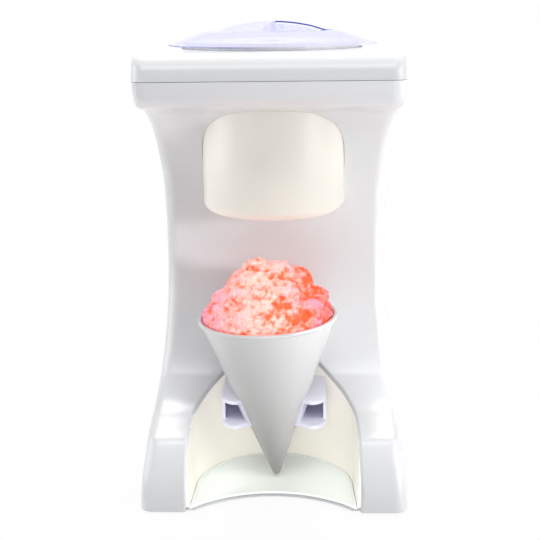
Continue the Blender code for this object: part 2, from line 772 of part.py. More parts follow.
def cone_holder():
    """Two decks joined by side walls, a back and a collar round the cone, screwed to the alcove wall."""
    low = LOWER_DECK_Z - HOLDER_T / 2
    high = UPPER_DECK_Z - HOLDER_T / 2
    outline = deck_outline()
    holder = plate("cone_holder", outline, UPPER_DECK_Z - HOLDER_T, UPPER_DECK_Z, HOLDER_PLASTIC, True)
    lower = plate("holder_lower_deck", outline, LOWER_DECK_Z - HOLDER_T, LOWER_DECK_Z)
    collar = around_cone("holder_collar", COLLAR_T, low, high)
    boolean(collar, plate("collar_trim", outline, low - EPS, high + EPS), "INTERSECT")
    outer = ALCOVE_R - FIT
    reach = holder_back_reach() + 0.5
    curve = arc(0, ALCOVE_Y, outer, reach, 180 - reach, 10)
    curve += arc(0, ALCOVE_Y, outer - HOLDER_SIDE_T, 180 - reach, reach, 10)
    walls = [plate("holder_back", curve, low, high)]
    back = ALCOVE_Y + math.sqrt(outer**2 - HOLDER_HALF_WIDTH**2) - FIT
    front = HOLDER_FRONT_Y + LOBE_L
    for sign in (-1, 1):
        x0, x1 = sorted((sign * HOLDER_HALF_WIDTH, sign * (HOLDER_HALF_WIDTH - HOLDER_SIDE_T)))
        walls.append(box(f"holder_side_{sign}", (x0, front, low), (x1, back, high)))
    join(holder, lower, *walls, collar)
    cut(holder, around_cone("cone_room", 0.0, LOWER_DECK_Z - HOLDER_T - EPS, UPPER_DECK_Z + EPS))
    for i, (x, z) in enumerate(holder_screws()):
        cut(holder, wall_hole(f"holder_hole_{i}", x, z))


def lean(obj):
    obj.location = (CONE_FOOT_X, CONE_Y, CONE_TIP_Z)
    obj.rotation_euler = (0, -CONE_LEAN, 0)
    return obj


def cone_half_angle():
    """Half angle of the cone that meets its rim radius and is tangent to its round tip."""
    height = CONE_RIM_Z - CONE_TIP_Z
    angle = math.atan(CONE_R / height)
    for _ in range(8):
        angle = math.atan(CONE_R / (height - CONE_TIP_R + CONE_TIP_R / math.sin(angle)))
    return angle


def cone_wall(offset, top):
    """Half profile of the cone, moved in by an offset, from a height down to the round tip."""
    angle = cone_half_angle()
    tip = CONE_TIP_R - offset
    apex = CONE_TIP_R - tip / math.sin(angle)
    points = [((top - apex) * math.tan(angle), top)]
    for i in range(4):
        turn = angle + (math.pi / 2 - angle) * i / 3
        points.append((tip * math.cos(turn), CONE_TIP_R - tip * math.sin(turn)))
    points[-1] = (0.0, points[-1][1])
    return points


def snow_cone():
    """Reusable cone cup with a thin turned rim."""
    height = CONE_RIM_Z - CONE_TIP_Z
    outer = cone_wall(0.0, height)
    inner = cone_wall(CONE_WALL, height)
    edge = outer[0][0]
    rim = [(inner[0][0], height), (edge + CONE_LIP, height), (edge + CONE_LIP, height - 0.0022)]
    rim.append((edge - 0.0011, height - 0.0027))
    cup = turned("snow_cone_cup", [*reversed(inner[1:]), *rim, *outer[1:]], (0, 0, 0), CONE_PLASTIC, True)
    lean(cup)


def ice_mound():
    """Heap of shaved ice: it fills the cone and rises above the rim in lumps."""
    height = CONE_RIM_Z - CONE_TIP_Z
    fill_top = height - 0.0035
    fill = cone_wall(CONE_WALL + FIT, fill_top)
    profile = [(r * CONE_R, height + h * ICE_H) for r, h in ICE_SHAPE]
    mound = turned("shaved_ice", [*profile, *fill], (0, 0, 0), ICE, True, 24)
    stand = Matrix.Translation((CONE_FOOT_X, CONE_Y, CONE_TIP_Z)) @ Matrix.Rotation(-CONE_LEAN, 4, "Y")
    for i, (x, y, h, size) in enumerate(ICE_LUMPS):
        bm = bmesh.new()
        bmesh.ops.create_icosphere(bm, subdivisions=2, radius=size * CONE_R)
        lump = place(f"ice_lump_{i}", mesh_of("lump", bm), None, keep=False)
        at = Vector((x * CONE_R, y * CONE_R, height + h * ICE_H))
        lump.matrix_world = stand @ Matrix.Translation(at) @ Matrix.Rotation(i, 4, (1, 2, 3))
        join(mound, lump)
    lean(mound)
    soften(mound, 60)


def snow_chamber():
    """Ivory drum with a snow outlet in its floor and a gear case at its back."""
    e = CHAMBER_EDGE_R
    low = CHAMBER_FLOOR_Z
    profile = [(0, CHAMBER_TOP_Z), (CHAMBER_R, CHAMBER_TOP_Z)]
    profile += [(CHAMBER_R - e + x, low + e + z) for x, z in arc(0, 0, e, 0, -90, 3)]
    boss = CHAMBER_FLOOR_Z - BOSS_H
    profile += [(HUB_R + 0.0007, low), (HUB_R, boss), (0, boss)]
    chamber = turned("snow_chamber", profile, (0, AXIS_Y, 0), IVORY, True)
    wall = CHAMBER_WALL
    r = CHAMBER_R - wall
    room = [(0, CHAMBER_TOP_Z + EPS), (r, CHAMBER_TOP_Z + EPS)]
    room += [(r - e + wall + x, low + e + z) for x, z in arc(0, 0, e - wall, 0, -90, 3)]
    room.append((0, low + wall))
    inside = turned("chamber_room", room, (0, AXIS_Y, 0))
    floor = CASE_FLOOR_Z
    high = CHAMBER_TOP_Z + 2 * EPS
    side = CASE_HALF_WIDTH
    case = box("gear_case", (-side, AXIS_Y + r - 0.02, floor), (side, CASE_BACK_Y, CASE_TOP_Z))
    side = side - CASE_WALL
    behind = AXIS_Y + CHAMBER_R + 0.0015
    pocket = box("case_pocket", (-side, behind, floor + CASE_WALL), (side, CASE_BACK_Y - CASE_WALL, high))
    window = box("gear_window", (-side, AXIS_Y + 0.02, GEAR_Z - 0.002), (side, behind + EPS, high))
    join(chamber, case)
    cut(chamber, inside, pocket, window, outlet_cutter())
    bore = SPINDLE_R + RUN + BUSH_T + FIT
    cut(chamber, rod("bush_bore", bore, boss - EPS, low + wall + EPS, 0, AXIS_Y))
    over = floor + CASE_WALL + EPS
    cut(chamber, rod("motor_nose_hole", MOTOR_NOSE_R + 0.0015, floor - EPS, over, 0, MOTOR_Y))
    for i, (x, y) in enumerate(motor_screw_places()):
        cut(chamber, rod(f"case_screw_hole_{i}", SCREW_R + FIT, floor - EPS, over, x, y, sides=16))


def outlet_cutter():
    """The half-moon opening that lets the snow fall into the cone."""
    turn = math.degrees(OUTLET_HALF_ANGLE)
    outline = arc(0, AXIS_Y, OUTLET_R_OUT, -90 - turn, -90 + turn, 16)
    outline += arc(0, AXIS_Y, OUTLET_R_IN, -90 + turn, -90 - turn, 8)
    return plate("outlet_cutter", outline, CHAMBER_FLOOR_Z - EPS, CHAMBER_FLOOR_Z + CHAMBER_EDGE_R)


def gear_outline(teeth, turn):
    """Involute gear outline about the origin, its first tooth on +X turned by an angle."""
    pitch = teeth * GEAR_MODULE / 2
    base = pitch * math.cos(PRESSURE_ANGLE)
    tip = pitch + ADDENDUM * GEAR_MODULE
    root = pitch - DEDENDUM * GEAR_MODULE
    half = math.pi / (2 * teeth) - BACKLASH / pitch

    def involute(r):
        grow = math.sqrt(max((r / base) ** 2 - 1, 0))
        return grow - math.atan(grow)

    points = []
    for k in range(teeth):
        middle = turn + 2 * math.pi * k / teeth
        radii = [root, tip]
        flank = [(r, half + involute(pitch) - involute(r)) for r in radii]
        for r, a in flank:
            points.append((r * math.cos(middle - a), r * math.sin(middle - a)))
        for r, a in reversed(flank):
            points.append((r * math.cos(middle + a), r * math.sin(middle + a)))
    return points


def ring_gear():
    """Toothed ring under the blade disc, with spokes to the hub and vanes that sweep the snow."""
    top = GEAR_Z + GEAR_H
    at = (0, AXIS_Y, 0)
    gear = plate("ring_gear", gear_outline(RING_TEETH, 0.0), GEAR_Z, top, ACETAL, True, at)
    inner = RING_TEETH * GEAR_MODULE / 2 - RING_W
    cut(gear, rod("ring_gear_room", inner, GEAR_Z - EPS, top + EPS, 0, AXIS_Y, sides=SMOOTH))
    low = CHAMBER_FLOOR_Z + CHAMBER_WALL + HUB_LIFT
    join(gear, rod("ring_gear_hub", HUB_R, low, top, 0, AXIS_Y))
    for k in range(3):
        turn = 2 * math.pi * k / 3 + math.pi / 6
        spoke = box(f"spoke_{k}", (0.004, -0.0028, GEAR_Z + 0.001), (inner + 0.002, 0.0028, top - 0.0005))
        vane = box(f"vane_{k}", (0.004, -0.001, low), (inner + 0.001, 0.001, GEAR_Z + 0.004))
        for bar in (spoke, vane):
            spot = Matrix.Rotation(turn, 4, "Z") @ Matrix.Translation(bar.location)
            bar.matrix_world = Matrix.Translation(at) @ spot
            join(gear, bar)
    cut(gear, rod("ring_gear_bore", SPINDLE_R + RUN, low - EPS, top + EPS, 0, AXIS_Y))


def blade_angle(k):
    return math.pi * k + math.radians(20)


def blade_disc():
    """Steel disc with two shaving slots, each under the edge of its blade."""
    low = DISC_TOP_Z - DISC_T
    high = DISC_TOP_Z + EPS
    disc = rod("blade_disc", DISC_R, low, DISC_TOP_Z, 0, AXIS_Y, STEEL, True, SMOOTH)
    cut(disc, rod("disc_bore", SPINDLE_R + RUN, low - EPS, high, 0, AXIS_Y))
    for k in range(2):
        out = BLADE_IN_R + BLADE_L + 0.001
        slot = box(f"shaving_slot_{k}", (BLADE_IN_R, -BLADE_W / 2, low - EPS), (out, 0.0005, high))
        turn = Matrix.Rotation(blade_angle(k), 4, "Z")
        slot.matrix_world = Matrix.Translation((0, AXIS_Y, 0)) @ turn @ Matrix.Translation(slot.location)
        cut(disc, slot)
        shaving_blade(k, DISC_TOP_Z + FIT, turn)


def shaving_blade(k, low, turn):
    """A ground steel blade: a thin bar with one bevelled cutting edge over its slot."""
    outline = [(0.0, 0.0), (BLADE_W, 0.0), (BLADE_W, BLADE_T), (0.0025, BLADE_T), (0.0, 0.0003)]
    blade = plate(f"shaving_blade_{k + 1}", outline, BLADE_IN_R, BLADE_IN_R + BLADE_L, STEEL, True)
    stand = Matrix(((0, 0, 1, 0), (1, 0, 0, -0.0022), (0, 1, 0, low), (0, 0, 0, 1)))
    blade.matrix_world = Matrix.Translation((0, AXIS_Y, 0)) @ turn @ stand


def spindle_parts():
    boss = CHAMBER_FLOOR_Z - BOSS_H
    at = (0, AXIS_Y, 0)
    rod("spindle", SPINDLE_R, boss - 0.002, DISC_TOP_Z + 0.0045, 0, AXIS_Y, STEEL, True)
    bore = SPINDLE_R + RUN
    top = CHAMBER_FLOOR_Z + CHAMBER_WALL + 0.001
    sleeve = [(bore, top), (bore + BUSH_T, top), (bore + BUSH_T, boss), (bore, boss)]
    turned("spindle_bush", sleeve, at, BRASS, True, 18)
    top = boss - FIT
    clip = [(bore, top), (bore + 0.0025, top), (bore + 0.0025, top - 0.0008), (bore, top - 0.0008)]
    turned("spindle_clip", clip, at, STEEL, True, 18)
    low = DISC_TOP_Z + FIT
    top = low + NUT_H
    nut = [(0, top), (0.0025, top - 0.0003), (0.0042, top - 0.0015), (0.005, top - 0.0032)]
    nut += [(0.006, low + 0.0025), (0.006, low), (bore, low), (bore, top - 0.0024), (0, top - 0.0024)]
    turned("disc_nut", nut, at, STEEL, True, 18)


def motor_screw_places():
    turns = [math.radians(t) for t in (-15, 90, 195)]
    return [(MOTOR_SCREW_R * math.cos(t), MOTOR_Y + MOTOR_SCREW_R * math.sin(t)) for t in turns]


def motor():
    """Motor under the gear case, its shaft carrying the pinion above and the fan below."""
    top = CASE_FLOOR_Z - FIT
    low = top - MOTOR_H
    bore = MOTOR_SHAFT_R + RUN
    at = (0, MOTOR_Y, 0)
    can = [(bore, top + 0.003), (MOTOR_NOSE_R, top + 0.003), (MOTOR_NOSE_R, top)]
    joint = low + BELL_H + FIT
    can += [(MOTOR_R - 0.002, top), (MOTOR_R, top - 0.002), (MOTOR_R, joint), (bore, joint)]
    body = turned("motor_can", can, at, STEEL, True, 28)
    bell = [(bore, low + BELL_H), (MOTOR_R - 0.0005, low + BELL_H), (MOTOR_R - 0.0005, low + BELL_H / 4)]
    bell += [(MOTOR_R - 0.004, low), (0.008, low), (0.008, low - 0.003), (bore, low - 0.003)]
    turned("motor_end_bell", bell, at, BLACK, True, 28)
    for i, (x, y) in enumerate(motor_screw_places()):
        cut(body, rod(f"motor_thread_{i}", SCREW_R + FIT, top - 0.008, top + EPS, x, y, sides=16))
        motor_screw(i, x, y, top - 0.0075)
    pinion_top = GEAR_Z + GEAR_H
    fan_top = low - 0.004
    rod("motor_shaft", MOTOR_SHAFT_R, fan_top - FAN_H, pinion_top + 0.002, 0, MOTOR_Y, STEEL, True)
    outline = gear_outline(PINION_TEETH, math.pi / PINION_TEETH)
    pinion = plate("drive_pinion", outline, GEAR_Z, pinion_top, ACETAL, True, at)
    join(pinion, rod("pinion_hub", 0.0075, GEAR_Z - 0.001, pinion_top + 0.001, 0, MOTOR_Y))
    cut(pinion, rod("pinion_bore", bore, GEAR_Z - EPS, pinion_top + EPS, 0, MOTOR_Y))
    cooling_fan(fan_top, at, bore)


def motor_screw(i, x, y, tip):
    """Screw that holds the motor under the gear case, its head inside the case."""
    head = CASE_FLOOR_Z + CASE_WALL + FIT
    top = head + SCREW_HEAD_H
    edge = SCREW_HEAD_R
    profile = [(0, top), (edge - SCREW_HEAD_H / 2, top), (edge, top - SCREW_HEAD_H / 2), (edge, head)]
    profile += [(SCREW_R, head), (SCREW_R, tip + 0.0005), (0, tip)]
    turned(f"motor_screw_{i + 1}", profile, (x, y, 0), STEEL, True, 10)


def cooling_fan(top, at, bore):
    """Fan of pitched blades on the lower end of the motor shaft."""
    hub = [(bore, top), (0.007, top), (0.008, top - FAN_H), (bore, top - FAN_H)]
    fan = turned("cooling_fan", hub, at, BLACK, True, 20)
    for k in range(7):
        blade = box(f"fan_blade_{k}", (0.006, -0.0006, top - FAN_H + 0.0005), (FAN_R, 0.0006, top - 0.0005))
        pitch = Matrix.Rotation(math.radians(32), 4, "X")
        turn = Matrix.Rotation(2 * math.pi * k / 7, 4, "Z")
        blade.matrix_world = Matrix.Translation(at) @ turn @ Matrix.Translation(blade.location) @ pitch
        join(fan, blade)


def gear_cover():
    """Lid of the gear case with the post that carries the switch."""
    low = CASE_TOP_Z + FIT
    side = CASE_HALF_WIDTH
    r = HOPPER_THROAT_R + HOPPER_WALL + 0.001
    reach = math.degrees(math.acos(side / r))
    outline = [(side, CASE_BACK_Y), (-side, CASE_BACK_Y), *arc(0, AXIS_Y, r, 180 - reach, reach, 12)]
    cover = plate("gear_cover", outline, low, low + 0.002, ACETAL, True)
    near = SWITCH_Y1 + FIT
    join(cover, box("switch_post", (-0.008, near, low + 0.001), (0.008, near + 0.0037, SWITCH_TOP_Z)))
    drum = rod("cover_drum_room", CHAMBER_R + FIT, low - EPS, low + 2 * EPS, 0, AXIS_Y, sides=SMOOTH)
    side = side - CASE_WALL - FIT
    cut(drum, box("cover_notch", (-side, -REACH, low - 2 * EPS), (side, REACH, low + 3 * EPS)))
    cut(cover, drum)


def interlock():
    """Switch that only lets the motor run while the lid is pressed down."""
    top = SWITCH_TOP_Z
    half = SWITCH_HALF_WIDTH
    switch = box("interlock_switch", (-half, SWITCH_Y0, top - SWITCH_H), (half, SWITCH_Y1, top), BLACK, True)
    button_top = top + BUTTON_OUT
    button_low = button_top - BUTTON_H
    room = button_low - BUTTON_ROOM
    cut(switch, rod("button_pocket", BUTTON_R + FIT, room, top + EPS, 0, ROD_Y))
    rod("switch_button", BUTTON_R, button_low, button_top, 0, ROD_Y, HOLDER_PLASTIC, True)
    rod("interlock_rod", ROD_R, button_top + FIT, PRESS_RING_Z - FIT, 0, ROD_Y, ACETAL, True)


def ice_hopper():
    """Stepped cup that takes the ice cubes, its lower end round the blade disc."""
    t = HOPPER_WALL
    top = COVER_TOP_Z - WALL - FIT
    flange = HOPPER_R + 0.0075
    rest = CHAMBER_TOP_Z + FIT
    throat = HOPPER_THROAT_R
    low = DISC_TOP_Z + 0.0022
    profile = [(HOPPER_R, top), (flange, top), (flange, top - t), (HOPPER_R + t, top - t)]
    profile += [(HOPPER_R + t, LEDGE_Z - t), (CHAMBER_R + 0.002, LEDGE_Z - t), (CHAMBER_R + 0.0002, rest)]
    profile += [(throat + t, rest), (throat + t, low), (throat, low), (throat, LEDGE_Z - 0.0045)]
    profile += [(throat + 0.0058, LEDGE_Z), (HOPPER_R, LEDGE_Z)]
    hopper = turned("ice_hopper", profile, (0, AXIS_Y, 0), WHITE, True, PLAIN)
    cut(hopper, rod("rod_hole", ROD_R + FIT, LEDGE_Z - t - EPS, LEDGE_Z + EPS, 0, ROD_Y))
    for k in range(4):
        turn = math.pi / 4 + math.pi / 2 * k
        corner = (throat + 0.001, 0.0012, LEDGE_Z - 0.008)
        rib = box(f"hopper_rib_{k}", (throat - 0.0016, -0.0012, low + 0.004), corner)
        spot = Matrix.Rotation(turn, 4, "Z") @ Matrix.Translation(rib.location)
        rib.matrix_world = Matrix.Translation((0, AXIS_Y, 0)) @ spot
        join(hopper, rib)


def coil(name, x, y, low, high, radius, wire_r, turns, per_turn=8):
    """A helical spring between two heights, its wire's outside touching neither."""
    a = low + wire_r * 1.6
    b = high - wire_r * 1.6
    count = turns * per_turn
    points = []
    for i in range(count + 1):
        turn = 2 * math.pi * i / per_turn
        points.append((x + radius * math.cos(turn), y + radius * math.sin(turn), a + (b - a) * i / count))
    return wire(name, points, wire_r, STEEL)


def press_ring():
    """Sprung ring in the hopper mouth that carries the lid."""
    outer = HOPPER_R - 0.0007
    inner = HOPPER_THROAT_R + 0.0063
    low = PRESS_RING_Z
    high = low + PRESS_RING_H
    profile = [(inner, high), (outer, high), (outer, low), (inner, low)]
    turned("press_ring", profile, (0, AXIS_Y, 0), ACETAL, True, PLAIN)
    middle = (outer + inner) / 2
    for k in range(3):
        turn = math.radians(30 + 120 * k)
        x = middle * math.cos(turn)
        y = AXIS_Y + middle * math.sin(turn)
        coil(f"lid_spring_{k + 1}", x, y, LEDGE_Z, low, SPRING_R, SPRING_WIRE_R, 3, 7)


def lid_surface(drop):
    """Half profile of the lid's top, from the middle to the rim, lowered by a drop."""
    points = []
    for i in range(8):
        t = math.pi / 2 * i / 7
        rise = LID_CROWN_H * max(math.cos(t), 0.0) ** 1.5
        points.append((LID_SHOULDER_R * math.sin(t), LID_SHOULDER_Z + rise - drop))
    for t in (0.5, 1.0):
        r = LID_SHOULDER_R + (LID_R - LID_SHOULDER_R) * t
        fall = (LID_SHOULDER_Z - LID_RIM_Z - LID_RIM_T) * (0.75 * t + 0.25 * t * t)
        points.append((r, LID_SHOULDER_Z - fall - drop))
    return points


def scoop(name, side, grow):
    """Cutter of one finger scoop: side +1 is front right, -1 is back left."""
    floor = LID_SHOULDER_Z + 0.0002 - grow
    low = (-SCOOP_SIDE - grow, -LID_R - EPS, floor)
    high = (LID_R + EPS, -GRIP_HALF + grow, floor + 2 * LID_CROWN_H)
    made = box(name, low, high)
    spin = Matrix.Rotation(0.0 if side > 0 else math.pi, 4, "Z")
    made.matrix_world = Matrix.Translation((0, AXIS_Y, 0)) @ spin @ Matrix.Translation(made.location)
    return made


def lid_dome():
    """Clear tinted lid: a low cone, a domed middle and two scoops that leave a finger ridge."""
    surface = lid_surface(0.0)
    profile = [*surface, (LID_R, LID_RIM_Z), (0.0, LID_RIM_Z)]
    dome = turned("lid_dome", profile, (0, AXIS_Y, 0), LID_PLASTIC, True)
    under = [(r, z) for r, z in lid_surface(LID_WALL) if r < LID_R - 0.003]
    last = under[-1]
    under = [*under, (last[0], LID_RIM_Z - EPS), (0.0, LID_RIM_Z - EPS)]
    hollow = turned("lid_hollow", under, (0, AXIS_Y, 0))
    for side in (1, -1):
        cut(dome, scoop(f"scoop_{side}", side, 0.0))
        cut(hollow, scoop(f"scoop_room_{side}", side, LID_WALL))
    cut(dome, hollow)


def lid_insert():
    """Inner plate of the lid with its locating skirt and the guide of the pusher."""
    plate_top = insert_top()
    low = PRESS_RING_Z + PRESS_RING_H + FIT
    guide = STEM_R + RUN
    t = INSERT_T
    profile = [(guide, plate_top), (SKIRT_R, plate_top), (SKIRT_R, low), (SKIRT_R - t, low)]
    profile += [(SKIRT_R - t, plate_top - t), (guide + GUIDE_T, plate_top - t)]
    profile += [(guide + GUIDE_T, GUIDE_Z), (guide, GUIDE_Z)]
    turned("lid_insert", profile, (0, AXIS_Y, 0), WHITE, True, PLAIN)


def insert_top():
    """Height of the insert, just under the lid at the skirt."""
    under = lid_surface(LID_WALL)
    radii = [r for r, _ in under]
    heights = [z for _, z in under]
    return float(np.interp(SKIRT_R, radii, heights)) - FIT


def ice_pusher():
    """Spring loaded plate that keeps the ice on the blades."""
    top = PUSHER_Z + PUSHER_T
    low = PUSHER_Z - 0.0015
    profile = [(0, STEM_TOP_Z), (STEM_R, STEM_TOP_Z), (STEM_R, top), (PUSHER_R, top), (PUSHER_R, PUSHER_Z)]
    profile += [(0.030, PUSHER_Z), (0.030, low), (0.028, low), (0.028, PUSHER_Z), (0, PUSHER_Z)]
    turned("ice_pusher", profile, (0, AXIS_Y, 0), ACETAL, True, PLAIN)
    coil("pusher_spring", 0, AXIS_Y, top, GUIDE_Z, STEM_R + 0.0021, PUSHER_SPRING_WIRE_R, 6, 8)


def main():
    housings()
    cord_gland()
    top_cover()
    base_plate()
    rubber_feet()
    alcove_liner()
    drip_tray()
    cone_holder()
    snow_cone()
    ice_mound()
    snow_chamber()
    ring_gear()
    blade_disc()
    spindle_parts()
    motor()
    gear_cover()
    interlock()
    ice_hopper()
    press_ring()
    lid_dome()
    lid_insert()
    ice_pusher()


main()
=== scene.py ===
"""Looks of the snow cone machine: fine shells, moulded plastics, syrup ice, studio light.

Metres and the part's own frame: +Z up, the front faces -Y, the origin is under the middle.
"""

import json
import math

import bmesh
import bpy
import numpy as np
from bpy.props import FloatProperty, FloatVectorProperty, IntProperty, PointerProperty
from mathutils import Matrix, Vector, noise


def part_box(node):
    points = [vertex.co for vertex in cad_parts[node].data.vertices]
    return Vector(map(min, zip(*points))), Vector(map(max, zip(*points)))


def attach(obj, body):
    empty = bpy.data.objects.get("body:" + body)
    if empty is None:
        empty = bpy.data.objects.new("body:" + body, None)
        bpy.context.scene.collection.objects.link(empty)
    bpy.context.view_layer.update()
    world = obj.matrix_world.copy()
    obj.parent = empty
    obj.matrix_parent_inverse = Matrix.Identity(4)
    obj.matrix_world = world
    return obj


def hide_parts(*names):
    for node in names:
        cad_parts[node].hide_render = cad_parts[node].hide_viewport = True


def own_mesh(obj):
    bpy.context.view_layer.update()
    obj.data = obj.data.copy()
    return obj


bl_info = {
    "name": "Snow cone machine looks",
    "version": (1, 0, 0),
    "blender": (4, 5, 0),
    "location": "View3D > Sidebar > Snow cone",
    "description": "Builds the visible pieces, finishes and studio of the snow cone machine",
    "category": "Object",
}

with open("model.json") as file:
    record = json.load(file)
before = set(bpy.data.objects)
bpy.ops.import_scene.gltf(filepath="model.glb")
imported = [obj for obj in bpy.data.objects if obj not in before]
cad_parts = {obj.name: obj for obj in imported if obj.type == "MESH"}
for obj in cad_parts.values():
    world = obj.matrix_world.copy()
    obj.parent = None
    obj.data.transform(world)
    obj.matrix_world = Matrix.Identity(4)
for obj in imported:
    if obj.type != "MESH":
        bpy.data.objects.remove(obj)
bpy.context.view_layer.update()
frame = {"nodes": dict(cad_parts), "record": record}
SLOT_OF = {part["node"]: part["material_slot"] for part in frame["record"]["subparts"]}

# Sizes shared with the part
FIT = 0.0003
WALL = 0.0026
FEET_H = 0.0012
SEAM_Z = 0.2874
COVER_TOP_Z = 0.304
FRONT_Y = -0.107
BACK_Y = 0.107
WAIST_FRONT_Y = -0.005
WAIST_BACK_Y = 0.084
TOP_BACK_Y = 0.092
TOP_HALF_WIDTH = 0.0845
WAIST_HALF_WIDTH = 0.0793
FOOT_HALF_WIDTH = 0.0905
CORNER_R = 0.009
COVER_EDGE_R = 0.0035
SPLIT_Y = 0.030
FRONT_SHAPE = (
    (0.0, 0.0),
    (0.042, 0.0),
    (0.157, 0.167),
    (0.181, 0.36),
    (0.195, 0.49),
    (0.216, 0.61),
    (0.2575, 0.765),
    (0.348, 0.912),
    (0.522, 1.0),
    (0.696, 0.97),
    (0.818, 0.823),
    (0.870, 0.686),
    (0.905, 0.529),
    (0.9186, 0.451),
    (0.9245, 0.394),
    (0.931, 0.29),
    (0.937, 0.19),
    (0.9447, 0.093),
    (0.969, 0.0245),
    (1.0, 0.0),
)
FOOT_FLARE = (
    (0.0, 1.0),
    (0.06, 0.91),
    (0.14, 0.68),
    (0.22, 0.51),
    (0.33, 0.25),
    (0.42, 0.10),
    (0.52, 0.03),
    (0.65, 0.0),
)
TOP_FLARE = (
    (0.60, 0.0),
    (0.73, 0.13),
    (0.815, 0.42),
    (0.87, 0.60),
    (0.94, 0.81),
    (1.0, 1.0),
)
BACK_FOOT = ((0, 1), (0.04, 1), (0.2, 0.55), (0.4, 0.12), (0.55, 0))
BACK_TOP = ((0.55, 0), (0.8, 0.35), (1, 1))
AXIS_Y = -0.017
CHAMBER_R = 0.0494
CHAMBER_WALL = 0.0024
CHAMBER_FLOOR_Z = 0.192
CHAMBER_TOP_Z = 0.2707
CHAMBER_EDGE_R = 0.007
HOPPER_R = 0.0615
LID_R = 0.0714
LID_RIM_Z = 0.306
LID_WALL = 0.0022
LID_SHAPE = (
    (0.0, 0.0157),
    (0.008, 0.0154),
    (0.016, 0.0146),
    (0.024, 0.0132),
    (0.028, 0.0123),
    (0.032, 0.0110),
    (0.036, 0.0098),
    (0.0385, 0.0094),
    (0.043, 0.0092),
    (0.0467, 0.0085),
    (0.0547, 0.0058),
    (0.0667, 0.0020),
    (0.0714, 0.0009),
)
GRIP_HALF = 0.006
SCOOP_FLOOR = 0.0092
SCOOP_INNER_X = 0.003
SCOOP_OUTER = (-0.0103, -0.052)
ALCOVE_R = 0.0575
ALCOVE_Y = -0.0722
ALCOVE_MOUTH = 0.0589
ALCOVE_SWEEP = 0.0023
ALCOVE_SWEEP_Z = 0.045
LINER_T = 0.0022
LINER_TOP_Z = 0.112
LIP_R = 0.0022
FLOOR_Z = 0.0033
TRAY_EDGE_R = 0.0785
TRAY_EDGE_Y = -0.0834
TRAY_T = 0.0015
TRAY_RIM_H = 0.0008
TRAY_RIM_W = 0.0016
CONE_R = 0.0471
CONE_LIP = 0.0009
CONE_RIM_Z = 0.1258
CONE_TIP_Z = 0.0069
CONE_TIP_R = 0.003
CONE_WALL = 0.0014
CONE_Y = -0.059
CONE_LEAN = math.radians(2.4)
CONE_FOOT_X = 0.0011
CONE_ROOM = 0.0005
HOLDER_HALF_WIDTH = 0.0364
HOLDER_FRONT_Y = -0.0757
HOLDER_T = 0.0024
HOLDER_SIDE_T = 0.002
UPPER_DECK_Z = 0.0685
LOWER_DECK_Z = 0.0505
LOBE_X = 0.0265
LOBE_L = 0.014
LOBE_TIP_R = 0.005
LOBE_TURN = 33
COLLAR_T = 0.0016
HOLDER_SCREW_X = 0.011
HOLDER_SCREW_R = 0.0018
OUTLET_R_IN = 0.015
OUTLET_R_OUT = 0.041
OUTLET_TURN = 62
GEAR_Z = 0.2055
HUB_R = 0.008
BOSS_H = 0.005
BUSH_BORE_R = 0.0058
CASE_HALF_WIDTH = 0.025
CASE_WALL = 0.0022
CASE_FLOOR_Z = 0.189
CASE_TOP_Z = 0.219
CASE_BACK_Y = 0.06735
MOTOR_Y = 0.043
MOTOR_NOSE_R = 0.009
MOTOR_SCREW_R = 0.0155
SCREW_R = 0.0015
VENT_ROWS = 7
VENT_HALF_WIDTH = 0.028
VENT_H = 0.004
VENT_STEP = 0.009
VENT_LOW_Z = 0.085
REACH = 0.2

# Painted light in the fork's pocket: how far it reaches past the decks, where it starts and where it is
# full.
PAINTED_POCKET_SKIN = 0.0004
PAINTED_POCKET_START_Y = -0.066
PAINTED_POCKET_FULL_Y = -0.056

# How finely the visible shells are made
ROUND = 144
ROW = 0.0022
OVER = 0.002


def linear(colour):
    """Turn an sRGB hex colour into the linear values that Blender's sockets take."""
    channels = [int(colour[i : i + 2], 16) / 255 for i in (1, 3, 5)]
    return tuple(c / 12.92 if c <= 0.04045 else ((c + 0.055) / 1.055) ** 2.4 for c in channels)


def colour_property(name, description, default):
    return FloatVectorProperty(
        name=name,
        description=description,
        default=linear(default),
        subtype="COLOR",
        size=3,
        min=0,
        max=1,
    )


def lamp_property(name, description, watts):
    return FloatProperty(name=name, description=description, default=watts, min=0, unit="POWER")


def length_property(name, description, default, low, high):
    return FloatProperty(
        name=name, description=description, default=default, min=low, max=high, unit="LENGTH"
    )


class SnowConeColours(bpy.types.PropertyGroup):
    """Colours of the plastics and the syrup."""

    body: colour_property("Body", "White ABS of the housing and cover", "#DEDFE1")
    ivory: colour_property("Ivory", "Ivory ABS of the drum and the alcove lining", "#F9F5EB")
    holder: colour_property("Holder", "Clouded polypropylene of the cone fork", "#CFCFDA")
    tray: colour_property("Tray", "Mint tinted polystyrene of the tray", "#E4EAE7")
    cup: colour_property("Cup", "White polystyrene of the cone cup", "#D6D6D6")
    # Painted shade: the cup's colour goes over to this grey towards its tip.
    painted_tip_shade: colour_property("Cup tip", "The cone's thick tip", "#A3A1A0")
    # Painted light: the fork's colour between its decks, paler and bluer, standing in for the bluish light
    # and shade in that pocket.
    pocket: colour_property("Pocket", "Cone fork where light bounces between its decks", "#E4E4F4")
    lid: colour_property("Lid", "Dyed polycarbonate of the lid, seen at a slant", "#AEB1E0")
    # Painted shade: dark blue along the lid's scoop edges and in a line along its rim.
    edge: colour_property("Edge", "Lid edges, where light has come along the wall", "#2E44B4")
    syrup_pale: colour_property("Pale syrup", "Ice with little syrup", "#FFB8AE")
    syrup_deep: colour_property("Deep syrup", "Syrup gathered between the lumps", "#F85C28")
    syrup_rose: colour_property("Rose syrup", "Edge lumps with more pink", "#FF7F9E")


